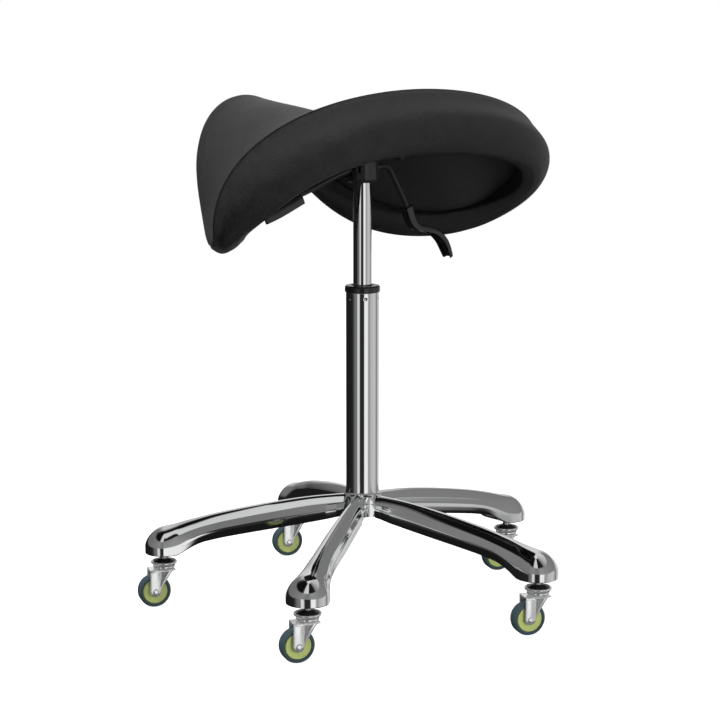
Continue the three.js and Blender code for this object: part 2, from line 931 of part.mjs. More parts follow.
levers.forEach(({ name, rod, hand, widths, thicks, closedShare, segments, fingerReach, degrees }) => {
  const turn = (solid) => solid.rotate([0, 0, degrees]);
  addPiece(lift, name + "_lever_rod", turn(leverRod(rod, fingerReach, segments)), blackSteel);
  addPiece(lift, name + "_paddle", turn(paddle(hand, widths, thicks, rod, closedShare, segments)), blackPlastic);
  const pin = turnedAcross(pinProfile(leverPinRadius, leverPinLength / 2), pinSides, leverPivotOut, leverPivotHeight);
  addPiece(lift, name + "_lever_pin", turn(pin), zinc);
});

// Seat body: plate, bolts, shell, lining and pad
const seat = new THREE.Group();
seat.rotation.z = seatTurn;
stool.add(seat);

function seatPlate() {
  const shape = new THREE.Shape();
  const w = plateHalfWidth;
  const l = plateHalfLength;
  shape.moveTo(w - plateCorner, -l);
  shape.absarc(w - plateCorner, plateCorner - l, plateCorner, -Math.PI / 2, 0);
  shape.absarc(w - plateCorner, l - plateCorner, plateCorner, 0, Math.PI / 2);
  shape.absarc(plateCorner - w, l - plateCorner, plateCorner, Math.PI / 2, Math.PI);
  shape.absarc(plateCorner - w, plateCorner - l, plateCorner, Math.PI, (Math.PI * 3) / 2);
  const sheet = new THREE.ExtrudeGeometry(shape, { depth: plateSheet, bevelEnabled: false, curveSegments: arcSegments });
  const plate = toSolid(sheet.translate(0, 0, plateBottom));
  const lugDrop = plateBottom + plateSheet / 2 - tiltPinHeight;
  const lug = new THREE.Shape();
  lug.absarc(0, 0, lugRadius, Math.PI, 2 * Math.PI);
  lug.lineTo(lugHalfWidth, lugDrop);
  lug.lineTo(-lugHalfWidth, lugDrop);
  lug.closePath();
  const lugs = [-1, 1].map((side) => {
    const x = side * (housingHalfWidth + seatGap + lugSheet / 2);
    return upright(lug, lugSheet, 0).rotate([0, 0, 90]).translate([x, -tiltPinForward, tiltPinHeight]);
  });
  const window = drum(plateWindow, plateBottom - overrun, plateBottom + plateSheet + overrun, castorSides);
  const pinReach = housingHalfWidth + lugSheet + overrun;
  const pinHole = pinAlongX(tiltPinRadius + runningGap, -pinReach, pinReach, -tiltPinForward, tiltPinHeight, rodSides);
  return joinAll([plate, ...lugs]).subtract(joinAll([window, pinHole, ...boltHoles(plateBottom - overrun)]));
}

const boltPlaces = [
  [boltAcross, boltAlong],
  [-boltAcross, boltAlong],
  [-boltAcross, -boltAlong],
  [boltAcross, -boltAlong],
];
function boltHoles(bottom) {
  const top = shellPadFace + boltBite + seatGap;
  return boltPlaces.map(([x, y]) => drum(boltRadius + runningGap, bottom, top, pinSides).translate([x, y, 0]));
}
addPiece(seat, "seat_plate", seatPlate(), blackSteel);

boltPlaces.forEach(([x, y], i) => {
  const headBottom = plateBottom - seatGap - boltHeadHeight;
  const bolt = turned(
    [
      [0, headBottom],
      [boltHeadRadius - boltSocket / 3, headBottom],
      [boltHeadRadius, headBottom + boltHeadHeight / 3],
      [boltHeadRadius, plateBottom - seatGap],
      [boltRadius, plateBottom - seatGap],
      [boltRadius, shellPadFace + boltBite],
      [0, shellPadFace + boltBite],
    ],
    pinSides,
  );
  const hexDepth = boltHeadHeight / 2;
  const hex = drum(boltSocket, headBottom - overrun, headBottom + hexDepth, 6);
  addPiece(seat, "seat_bolt_" + (i + 1), bolt.subtract(hex).translate([x, y, 0]), zinc);
});

// A point of the saddle sheet: an arch across the seat whose fold changes along it, raised at both ends.
function sheetPoint(across, along) {
  const behind = along > 0;
  const u = Math.abs(across) / archHalf;
  const v = Math.abs(along) / (behind ? seatRear : seatFront);
  const fold = middleFoldAngle * ((behind ? rearFoldAngle : frontFoldAngle) / middleFoldAngle) ** v;
  let level = 0;
  let drop = 0;
  for (let i = 0; i < foldSegments; i += 1) {
    const turn = fold * ((u * (i + 0.5)) / foldSegments) ** foldPower;
    level += Math.cos(turn) / foldSegments;
    drop += Math.sin(turn) / foldSegments;
  }
  const rise = behind ? rearRise * v ** rearRisePower : frontRise * v ** frontRisePower;
  const hold = behind ? rearHoldShare : frontHoldShare;
  const z = seatHeight - Math.abs(across) * drop + rise * (1 - hold * u * u);
  return new THREE.Vector3(across * level, along + seatBack + wingSweep * u * u, z);
}

// The seat's outline in sheet lengths at one turn, and how much of it is wing.
function outlineAt(turn) {
  const c = Math.cos(turn);
  const s = Math.sin(turn);
  const square = s > 0 ? rearSquarePower : frontSquarePower;
  const r = (Math.abs(c) ** square + Math.abs(s) ** square) ** (-1 / square);
  const taper = 1 - frontTaperShare * Math.max(0, -r * s);
  return {
    across: archHalf * r * c * taper,
    along: (s > 0 ? seatRear : seatFront) * r * s,
    wing: Math.abs(c) ** wingPower,
    rim: s > 0 ? rearRimDepth : frontRimDepth,
    side: c * c,
  };
}

// A point at a share of the outline, sunk below the sheet along its normal.
function sheetOffset(edge, share, depth) {
  const across = edge.across * share;
  const along = edge.along * share;
  const middle = sheetPoint(across, along);
  const step = slopeStep;
  const dx = sheetPoint(across + step, along).sub(sheetPoint(across - step, along));
  const dy = sheetPoint(across, along + step).sub(sheetPoint(across, along - step));
  const normal = dx.cross(dy).normalize();
  return middle.addScaledVector(normal, -depth);
}

function edgeShare(edge, inset) {
  return 1 - inset / Math.hypot(edge.across, edge.along);
}

// Depth of the foam over the shell, thinner towards the wings.
function foamDepth(edge, share) {
  return foamMiddle + (foamWing - foamMiddle) * share * share * edge.side;
}

function ringOf(turns, place) {
  return Array.from({ length: turns }, (_, i) => {
    const edge = outlineAt(((i + 0.5) * 2 * Math.PI) / turns);
    return place(edge);
  });
}

// Rings under the foam, at the same shares for pad, shell and lining; only the outermost one is trimmed.
function innerRings(trim, below) {
  return innerShares.map((share) =>
    ringOf(padSides, (edge) => {
      const reach = edgeShare(edge, share < 1 ? recessInset : recessInset + trim) * share;
      return sheetOffset(edge, reach, foamDepth(edge, reach) + below);
    }),
  );
}

function seatPad() {
  const crownAt = (share) => -padCrown * (1 - share ** 4);
  const thickness = (edge) => THREE.MathUtils.lerp(edge.rim, wingDepth, edge.wing);
  const lip = (edge, inset, depth) => sheetOffset(edge, edgeShare(edge, inset), depth);
  const top = padTopShares.map((share) => ringOf(padSides, (edge) => sheetOffset(edge, share, crownAt(share))));
  const seam = [
    ringOf(padSides, (edge) => lip(edge, seamHalf * 2, -seamDepth / 3)),
    ringOf(padSides, (edge) => lip(edge, 0, seamDepth)),
    ringOf(padSides, (edge) => lip(edge, -seamHalf, seamDepth)),
  ];
  const band = padBandShares.map((share) =>
    ringOf(padSides, (edge) => {
      const inset = rimLip * share * share - rimBulge * Math.sin(Math.PI * share ** bulgePower);
      return lip(edge, inset, thickness(edge) * share);
    }),
  );
  const turnIn = [
    ringOf(padSides, (edge) => lip(edge, (rimLip + recessInset) / 2, thickness(edge) - lipRound / 4)),
    ringOf(padSides, (edge) => lip(edge, recessInset, thickness(edge) - lipRound)),
    ringOf(padSides, (edge) => lip(edge, recessInset, foamDepth(edge, edgeShare(edge, recessInset)) + shellSheet)),
  ];
  return loft([...top, ...seam, ...band, ...turnIn, ...innerRings(0, 0)]);
}
addPiece(seat, "seat_pad", seatPad(), leatherette);

// A sheet of even thickness that follows the saddle under the foam.
function formedSheet(trim, below, thickness) {
  return loft([...innerRings(trim, below).reverse(), ...innerRings(trim, below + thickness)]);
}

function seatShell() {
  const sheet = formedSheet(shellTrim, seatGap, shellSheet);
  const half = plateHalfWidth + seatGap;
  const long = plateHalfLength + seatGap;
  const column = block(-half, half, -long, long, shellPadFace, seatHeight + armRise);
  const above = formedSheet(shellTrim, seatGap + shellSheet / 2, shellPadDrop);
  const face = column.intersect(above);
  const holes = joinAll(boltHoles(shellPadFace - overrun));
  return sheet.add(face).subtract(holes);
}
addPiece(seat, "seat_shell", seatShell(), plywood);

function liningPanel() {
  const panel = formedSheet(liningTrim, seatGap * 2 + shellSheet, liningSheet);
  const half = plateHalfWidth + seatGap * 3;
  const long = plateHalfLength + seatGap * 3;
  return panel.subtract(block(-half, half, -long, long, plateBottom - overrun, seatHeight));
}
addPiece(seat, "under_lining", liningPanel(), lining);

// Castors
function forkLeg() {
  const shape = new THREE.Shape();
  const crown = 2 * wheelRadius + crownGap + forkSheet;
  const shoulder = crown - forkSheet * 1.5;
  shape.moveTo(-cupRadius, crown);
  shape.lineTo(-cupRadius + cupWall, shoulder);
  shape.lineTo(forkTrail - forkLegRadius, wheelRadius);
  shape.absarc(forkTrail, wheelRadius, forkLegRadius, Math.PI, 2 * Math.PI);
  shape.lineTo(forkTrail + forkLegRadius, crown);
  shape.closePath();
  return shape;
}

function forkRib() {
  const shape = new THREE.Shape();
  const radius = forkLegRadius - forkRibInset;
  const top = 2 * wheelRadius + crownGap;
  shape.absarc(forkTrail, wheelRadius, radius, Math.PI, 2 * Math.PI);
  shape.lineTo(forkTrail + radius, top);
  shape.lineTo(forkTrail - radius, top);
  shape.closePath();
  return shape;
}

const forkInside = wheelBossWidth / 2 + runningGap * 2;
const forkOutside = forkInside + forkSheet;
const crownTop = 2 * wheelRadius + crownGap + forkSheet;
const raceBottom = crownTop + cupFloor;

// A conical skirt that runs from the round cup into the flat legs.
function forkSkirt() {
  const sides = castorSides;
  const ringAt = (height, x, rx, ry) =>
    Array.from({ length: sides }, (_, i) => {
      const turn = (i * 2 * Math.PI) / sides;
      return new THREE.Vector3(x + rx * Math.cos(turn), ry * Math.sin(turn), height);
    });
  return loft([
    ringAt(skirtTipHeight, skirtTipOffset, skirtTipRadius, forkOutside - seatGap),
    ringAt(crownTop + cupFloor, 0, cupRadius, cupRadius),
  ]);
}

function castorFork() {
  const lipBottom = raceBottom + seatGap + raceHeight + seatGap;
  const lipTop = lipBottom + cupLipHeight;
  const inside = clearRadius(cupRadius - cupWall, castorSides);
  const cup = turned(
    [
      [0, crownTop - forkSheet],
      [cupRadius, crownTop - forkSheet],
      [cupRadius, headHeight - cupRimHeight],
      [cupRimRadius, headHeight - cupRimHeight * 0.7],
      [cupRimRadius, headHeight],
      [cupRimRadius - cupWall * 0.9, headHeight],
      [inside + seatGap, lipTop],
      [inside - cupLip, lipTop],
      [inside - cupLip, lipBottom],
      [inside, lipBottom],
      [inside, raceBottom],
      [0, raceBottom],
    ],
    castorSides,
  );
  const crown = block(
    -cupRadius + cupWall,
    forkTrail + forkLegRadius,
    -forkOutside,
    forkOutside,
    crownTop - forkSheet,
    crownTop,
  );
  const legs = [-1, 1].map((side) => upright(forkLeg(), forkSheet, side * (forkInside + forkSheet / 2)));
  const ribs = [-1, 1].map((side) => upright(forkRib(), forkRibHeight * 2, side * forkOutside));
  const wheelRoom = block(
    -wheelRadius * 2,
    wheelRadius * 3,
    -forkInside,
    forkInside,
    -overrun,
    crownTop - forkSheet,
  );
  const axleHole = turnedAcross(pinProfile(axleRadius + pressGap, cupRadius * 2), pinSides, forkTrail, wheelRadius);
  return joinAll([cup, crown, forkSkirt(), ...legs, ...ribs]).subtract(wheelRoom).subtract(axleHole);
}

function castorStem() {
  const inside = cupRadius - cupWall - runningGap;
  const bottom = raceBottom + seatGap;
  const socketTop = footHeight + stemGrip;
  return turned(
    [
      [0, bottom],
      [inside, bottom],
      [inside, bottom + raceHeight],
      [inside - cupLip * 2, bottom + raceHeight],
      [stemRadius + cupLip, bottom + raceHeight + cupLip],
      [stemRadius, bottom + raceHeight + cupLip * 1.2],
      [stemRadius, socketTop - stemBevel],
      [stemRadius - stemBevel, socketTop],
      [0, socketTop],
    ],
    castorSides,
  );
}

function castorSeal() {
  const bottom = headHeight - sealBevel + seatGap;
  const outer = cupRadius - cupWall;
  const inner = stemRadius + seatGap;
  return turned(
    [
      [inner, bottom],
      [outer - seatGap, bottom],
      [outer, bottom + sealBevel * 0.6],
      [outer - sealBevel * 0.6, bottom + sealRise],
      [inner, bottom + sealRise + sealBevel],
      [inner, bottom],
    ],
    castorSides,
  );
}

function castorAxle() {
  const flush = forkOutside + forkRibHeight + seatGap;
  const end = flush + axleHeadHeight;
  return turnedAcross(
    [
      [0, -end],
      [axleHeadRadius * 0.7, -end],
      [axleHeadRadius, -end + axleHeadHeight * 0.5],
      [axleHeadRadius, -flush],
      [axleRadius, -flush],
      [axleRadius, flush],
      [axleHeadRadius, flush],
      [axleHeadRadius, end - axleHeadHeight * 0.5],
      [axleHeadRadius * 0.7, end],
      [0, end],
    ],
    pinSides,
    forkTrail,
    wheelRadius,
  );
}

const rimOuter = wheelRadius - tyreWall - seatGap;
function castorWheel() {
  const bore = axleRadius + runningGap;
  const boss = wheelBossWidth / 2;
  const face = wheelFaceWidth / 2;
  return turnedAcross(
    [
      [bore, -boss],
      [wheelBossRadius, -boss],
      [wheelBossRadius, -face],
      [rimOuter, -face],
      [rimOuter, face],
      [wheelBossRadius, face],
      [wheelBossRadius, boss],
      [bore, boss],
      [bore, -boss],
    ],
    wheelSides,
    forkTrail,
    wheelRadius,
  );
}

function castorTyre() {
  const inner = wheelRadius - tyreWall;
  const half = tyreWidth / 2;
  const s = tyreShoulder;
  return turnedAcross(
    [
      [inner, -half],
      [wheelRadius - s * 1.2, -half],
      [wheelRadius, -half + s * 1.5],
      [wheelRadius, half - s * 1.5],
      [wheelRadius - s * 1.2, half],
      [inner, half],
      [inner, -half],
    ],
    wheelSides,
    forkTrail,
    wheelRadius,
  );
}

const castorPieces = [
  ["stem", castorStem(), zinc],
  ["seal", castorSeal(), blackPlastic],
  ["fork", castorFork(), zinc],
  ["axle", castorAxle(), zinc],
  ["wheel", castorWheel(), greenPlastic],
  ["tyre", castorTyre(), greyRubber],
];
for (let i = 0; i < armCount; i += 1) {
  const turn = frontArmTurn + (i * 2 * Math.PI) / armCount;
  const castor = new THREE.Group();
  castor.position.set(stemCircle * Math.sin(turn), -stemCircle * Math.cos(turn), 0);
  castor.rotation.z = castorTurn;
  stool.add(castor);
  castorPieces.forEach(([name, solid, look]) => addPiece(castor, "castor_" + name + "_" + (i + 1), solid, look));
}

export default stool;
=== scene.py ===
import math

import bmesh
import bpy
import numpy as np
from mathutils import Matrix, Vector


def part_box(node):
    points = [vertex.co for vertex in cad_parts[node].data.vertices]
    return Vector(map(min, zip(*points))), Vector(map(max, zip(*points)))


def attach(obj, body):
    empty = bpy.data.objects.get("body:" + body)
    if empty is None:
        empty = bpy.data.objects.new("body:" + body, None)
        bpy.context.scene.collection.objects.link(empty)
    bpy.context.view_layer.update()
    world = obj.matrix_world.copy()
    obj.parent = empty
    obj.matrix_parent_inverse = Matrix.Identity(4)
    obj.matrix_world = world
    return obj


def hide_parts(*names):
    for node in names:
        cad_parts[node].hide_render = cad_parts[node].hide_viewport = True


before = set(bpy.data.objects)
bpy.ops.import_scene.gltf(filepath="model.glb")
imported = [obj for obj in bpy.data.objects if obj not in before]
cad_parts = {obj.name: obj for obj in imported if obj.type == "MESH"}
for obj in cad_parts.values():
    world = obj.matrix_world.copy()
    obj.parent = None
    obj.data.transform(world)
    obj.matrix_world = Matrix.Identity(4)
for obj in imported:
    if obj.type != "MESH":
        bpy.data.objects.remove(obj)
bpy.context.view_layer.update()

scene = bpy.context.scene

# ------------------------------------------------
# The studio: a camera well back and a little above the seat, a pale floor, a white room whose
# dark and light cards give the chrome its stripes, and three large soft lamps at a plain level.
# ------------------------------------------------
aim_height = 0.43
camera_place = (0, -3.022, 0.883)
camera_down, camera_turn = 9.465, 0.07
focal_length, film_width, view_limit = 100.9, 36, 60
# name, place, side and power
lamps = [
    ("key_lamp", (-2.0, -0.75, 2.9), 1.3, 165),
    ("fill_lamp", (2.7, -2.3, 0.5), 1.5, 125),
    ("back_lamp", (-0.6, 2.7, 2.4), 1.8, 2),
]

lens = bpy.data.cameras.new("camera")
lens.lens = focal_length
lens.sensor_width = film_width
lens.clip_end = view_limit
camera = bpy.data.objects.new("camera", lens)
camera.location = camera_place
camera.rotation_euler = (math.radians(90 - camera_down), 0, math.radians(camera_turn))
scene.collection.objects.link(camera)
scene.camera = camera
scene.view_settings.view_transform = "Standard"

# Square soft lamps, aimed at the middle of the stool and left out of its reflections.
for name, place, side, power in lamps:
    light = bpy.data.lights.new(name, "AREA")
    light.size = side
    light.energy = power
    holder = bpy.data.objects.new(name, light)
    holder.location = place
    aim = Vector((0, 0, aim_height)) - Vector(place)
    holder.rotation_euler = aim.to_track_quat("-Z", "Y").to_euler()
    holder.visible_glossy = False
    scene.collection.objects.link(holder)


def wire(tree, kind, links=(), **settings):
    """Adds a node, sets its properties, then joins or fills its inputs, given as (input, value or output)."""
    node = tree.nodes.new(kind)
    for key, value in settings.items():
        setattr(node, key, value)
    for socket, value in links:
        if isinstance(value, bpy.types.NodeSocket):
            tree.links.new(value, node.inputs[socket])
        else:
            node.inputs[socket].default_value = value
    return node


def tone(level):
    """Linear brightness of a screen grey from 0 to 255."""
    share = level / 255
    return share / 12.92 if share <= 0.04045 else ((share + 0.055) / 1.055) ** 2.4


metal_reflects = 0.86


def grey(level):
    """An opaque colour of one screen grey."""
    return (*[tone(level)] * 3, 1)


def ramp(tree, source, stops):
    """A colour ramp of screen greys, given as (place from 0 to 1, grey), as bright as polished metal shows them."""
    node = wire(tree, "ShaderNodeValToRGB", [("Fac", source)])
    elements = node.color_ramp.elements
    while len(elements) > 1:
        elements.remove(elements[-1])
    for i, (place, level) in enumerate(stops):
        element = elements[0] if i == 0 else elements.new(place)
        element.position = place
        element.color = (*[min(tone(level) / metal_reflects, 1.0)] * 3, 1)
    return node.outputs["Color"]


def calc(tree, operation, *values, clamp=False):
    """The output of a Math node on numbers or other outputs."""
    node = wire(tree, "ShaderNodeMath", list(enumerate(values)), operation=operation, use_clamp=clamp)
    return node.outputs[0]


# Screen greys that the metal shows, by direction: degrees round from the camera side, right positive.
level_cards = [
    (-180, 215), (-170, 200), (-160, 26), (-120, 26), (-90, 28), (-74, 34), (-66, 60), (-52, 108), (-38, 112),
    (-33, 214), (-21, 200), (-17, 60), (-12, 36), (5, 40), (11, 60), (15, 232), (36, 230), (42, 150), (50, 142),
    (58, 170), (88, 190), (105, 174), (112, 128), (124, 130), (134, 200), (155, 196), (168, 120), (174, 200),
    (180, 215),
]  # fmt: skip
raised_cards = [
    (-180, 212), (-165, 200), (-150, 110), (-100, 108), (-60, 118), (-30, 130), (0, 112), (20, 140), (60, 128),
    (100, 122), (150, 114), (165, 200), (180, 212),
]  # fmt: skip
high_cards = [
    (-180, 205), (-150, 190), (-120, 60), (-104, 16), (-40, 14), (-32, 70), (-26, 196), (2, 204), (5, 20),
    (44, 26), (56, 120), (90, 170), (130, 195), (180, 205),
]  # fmt: skip
below_grey, overhead_grey = 24, 226
# Elevations in degrees over which each ring, and last the overhead card, takes over from what lies below it.
card_steps = [(-23, -17), (4, 11), (40, 46), (80, 86)]
room_level = 0.17


def studio_world():
    """White where the camera looks past the stool. Glossy rays see the cards: one ramp round the room for each
    height, mixed by elevation, bright overhead and dark below. All other rays get one even level."""
    world = bpy.data.worlds.new("studio")
    world.use_nodes = True
    tree = world.node_tree
    tree.nodes.clear()
    direction = wire(tree, "ShaderNodeTexCoord").outputs["Generated"]
    x, y, z = wire(tree, "ShaderNodeSeparateXYZ", [("Vector", direction)]).outputs
    turn = calc(tree, "ARCTAN2", x, calc(tree, "MULTIPLY", y, -1.0))
    around = calc(tree, "MULTIPLY_ADD", turn, 0.5 / math.pi, 0.5)
    height = calc(tree, "MULTIPLY", calc(tree, "ARCSINE", z), 180 / math.pi)

    def blend(share, first, second):
        """A mix of two colours: sockets 6 and 7 and output 2 are the node's colour ones."""
        return wire(tree, "ShaderNodeMix", [(0, share), (6, first), (7, second)], data_type="RGBA").outputs[2]

    rings = [
        ramp(tree, around, [((degrees + 180) / 360, level) for degrees, level in cards])
        for cards in (level_cards, raised_cards, high_cards)
    ]
    seen = grey(below_grey)
    for (low, high), card in zip(card_steps, [*rings, grey(overhead_grey)], strict=True):
        limits = [("Value", height), ("From Min", low), ("From Max", high)]
        rise = wire(tree, "ShaderNodeMapRange", limits, interpolation_type="SMOOTHSTEP").outputs["Result"]
        seen = blend(rise, seen, card)
    rays = wire(tree, "ShaderNodeLightPath")
    lit = blend(rays.outputs["Is Glossy Ray"], (room_level, room_level, room_level, 1), seen)
    final = blend(rays.outputs["Is Camera Ray"], lit, (1, 1, 1, 1))
    background = wire(tree, "ShaderNodeBackground", [("Color", final), ("Strength", 1.0)])
    output = wire(tree, "ShaderNodeOutputWorld", [("Surface", background.outputs[0])])
    output.is_active_output = True
    scene.world = world


studio_world()

weld_distance = 4e-6


def grid_mesh(name, grids, sharp):
    """A mesh in metres from grids of points (rows, columns, xyz) in millimetres: every four neighbours make a face,
    points that coincide are one, faces point outwards, and only edges sharper than the angle stay sharp."""
    points, quads, start = [], [], 0
    for grid in grids:
        rows, columns = grid.shape[:2]
        index = np.arange(rows * columns).reshape(rows, columns) + start
        corners = (index[:-1, :-1], index[1:, :-1], index[1:, 1:], index[:-1, 1:])
        quads.append(np.stack(corners, -1).reshape(-1, 4))
        points.append(np.asarray(grid, float).reshape(-1, 3))
        start += rows * columns
    mesh = bpy.data.meshes.new(name)
    mesh.from_pydata((np.concatenate(points) * 0.001).tolist(), [], np.concatenate(quads).tolist())
    skin = bmesh.new()
    skin.from_mesh(mesh)
    bmesh.ops.remove_doubles(skin, verts=skin.verts, dist=weld_distance)
    bmesh.ops.recalc_face_normals(skin, faces=skin.faces)
    skin.to_mesh(mesh)
    skin.free()
    mesh.shade_smooth()
    mesh.set_sharp_from_angle(angle=math.radians(sharp))
    return mesh


def piece(name, grids, sharp=40.0):
    """A new object of the scene, made of grids."""
    made = bpy.data.objects.new(name, grid_mesh(name, grids, sharp))
    scene.collection.objects.link(made)
    return made


paper_level, floor_glow = 0.45, 0.9
floor_reach = 7000


def floor_material():
    """Pale matt paper. Seen by the camera it also glows, so that it meets the white room without an edge and still
    keeps the stool's soft shadow."""
    made = bpy.data.materials.new("pale_floor")
    made.use_nodes = True
    tree = made.node_tree
    tree.nodes.clear()
    paper = wire(tree, "ShaderNodeBsdfDiffuse", [("Color", (paper_level, paper_level, paper_level, 1))])
    seen = wire(tree, "ShaderNodeLightPath").outputs["Is Camera Ray"]
    glow = wire(tree, "ShaderNodeEmission", [("Strength", calc(tree, "MULTIPLY", seen, floor_glow))])
    both = wire(tree, "ShaderNodeAddShader", [(0, paper.outputs[0]), (1, glow.outputs[0])])
    wire(tree, "ShaderNodeOutputMaterial", [("Surface", both.outputs[0])])
    return made


floor_side = np.linspace(-floor_reach, floor_reach, 9)
floor_x, floor_y = np.meshgrid(floor_side, floor_side, indexing="ij")
floor = piece("floor", [np.stack([floor_x, floor_y, floor_x * 0], -1)])
if floor.data.polygons[0].normal.z < 0:
    floor.data.flip_normals()
floor.data.materials.append(floor_material())
floor.visible_glossy = False

# ------------------------------------------------
# Star base: one aluminium die casting with five hollow arms, polished and chromed. Each arm has
# a rounded crown, a crease, a flared side, an open channel below and a bell-shaped foot that
# takes a castor stem. The crowns run together round the column in small fillets.
# ------------------------------------------------
arm_count = 5
front_arm_turn = math.radians(-14.57)
stem_circle = 305
foot_height, arm_rise = 84, 89
half_width = 17
foot_half_width, foot_half_length = 31, 28.5
rim_height = 11
foot_slope = 0.2
flank_power, crown_power, tip_power = 2.1, 0.68, 0.62
hub_bore, hub_reach, hub_share = 25.2, 22, 0.815
side_blend, ridge_blend = 60, 62
hub_fillet, valley_fillet = 4.5, 8
flute_reach, flute_depth = 43.5, 0.17
channel_wall, channel_share = 4.5, 0.62
channel_reach = (45, 236)
rib_reaches, rib_half = (108.2, 172.8), (1.0, 1.6)
foot_pocket = (12, 22.5, 11)

# reach share, top, underside, half-width, as in the solid part
arm_table = np.array([
    [0.0, 1.0, 0.64, 0.8], [0.2, 0.955, 0.53, 0.86], [0.4, 0.87, 0.43, 0.96], [0.58, 0.77, 0.34, 1.0],
    [0.72, 0.68, 0.26, 1.04], [0.81, 0.61, 0.19, 1.18], [0.87, 0.56, 0.1, 1.34], [0.915, 0.518, 0.02, 1.53],
    [0.955, 0.485, 0.0, 1.7], [1.0, 0.455, 0.0, 1.8235],
])  # fmt: skip
# share of the half-width, share of the height: the arm's side from ridge to lower edge
crown_rows = np.array([
    [0, 1], [0.24, 0.97], [0.42, 0.9], [0.62, 0.785], [0.8, 0.665], [0.84, 0.615], [0.92, 0.495], [1.0, 0.37],
    [0.975, 0.18], [0.94, 0.03], [0.93, 0],
])  # fmt: skip
# the same rows over the foot: share of its half-width, and height of the last four over the rim's foot
bell_across = np.array([0, 0.27, 0.46, 0.64, 0.78, 0.88, 0.95, 1, 1, 1, 0.985])
rim_up = np.array([0.34, 0.17, 0.025, 0])
rim_row = 7
# reach shares between which the arm turns into the foot, and rows between which each of these comes in or ends
bell_reach = (0.72, 0.955)
flute_rows, valley_rows, fillet_rows = (4.4, 5.2), (0.1, 1.2), (3.2, 5.4)


def through(knots, values, at):
    """A smooth curve through the knots: cubic pieces whose slope at a knot is the mean of the slopes beside it."""
    knots, values, at = (np.asarray(a, float) for a in (knots, values, at))
    flat = values.reshape(len(knots), -1)
    steps = np.diff(knots)[:, None]
    slopes = np.diff(flat, axis=0) / steps
    mid = (slopes[1:] * steps[:-1] + slopes[:-1] * steps[1:]) / (steps[1:] + steps[:-1])
    slope = np.vstack([slopes[:1], mid, slopes[-1:]])
    i = np.clip(np.searchsorted(knots, at.ravel(), side="right") - 1, 0, len(knots) - 2)
    h = (knots[i + 1] - knots[i])[:, None]
    t = (at.ravel()[:, None] - knots[i][:, None]) / h
    made = (
        flat[i] * (1 + 2 * t) * (1 - t) ** 2
        + flat[i + 1] * t * t * (3 - 2 * t)
        + slope[i] * h * t * (1 - t) ** 2
        - slope[i + 1] * h * t * t * (1 - t)
    )
    return made.reshape(at.shape + values.shape[1:])


def step_up(x, low, high):
    """0 below low, 1 above high, smooth between."""
    t = np.clip((x - low) / (high - low), 0, 1)
    return t * t * (3 - 2 * t)


def on_circle(angle):
    """The point at an angle on a circle of radius 1."""
    return np.stack([np.cos(angle), np.sin(angle)], -1)


def turned(grid, angle):
    """A grid turned about the Z axis."""
    x, y = grid[..., 0], grid[..., 1]
    c, s = math.cos(angle), math.sin(angle)
    return np.stack([x * c - y * s, x * s + y * c, grid[..., 2]], -1)


def dome(across, ahead):
    """Height share of the foot above its rim: round across, and sloping on from the arm down to the foot's tip."""
    round_across = (1 - np.clip(across, 0, 1) ** flank_power) ** crown_power
    return round_across * (1 - foot_slope * ahead) * (1 - np.clip(ahead, 0, 1) ** 2) ** tip_power


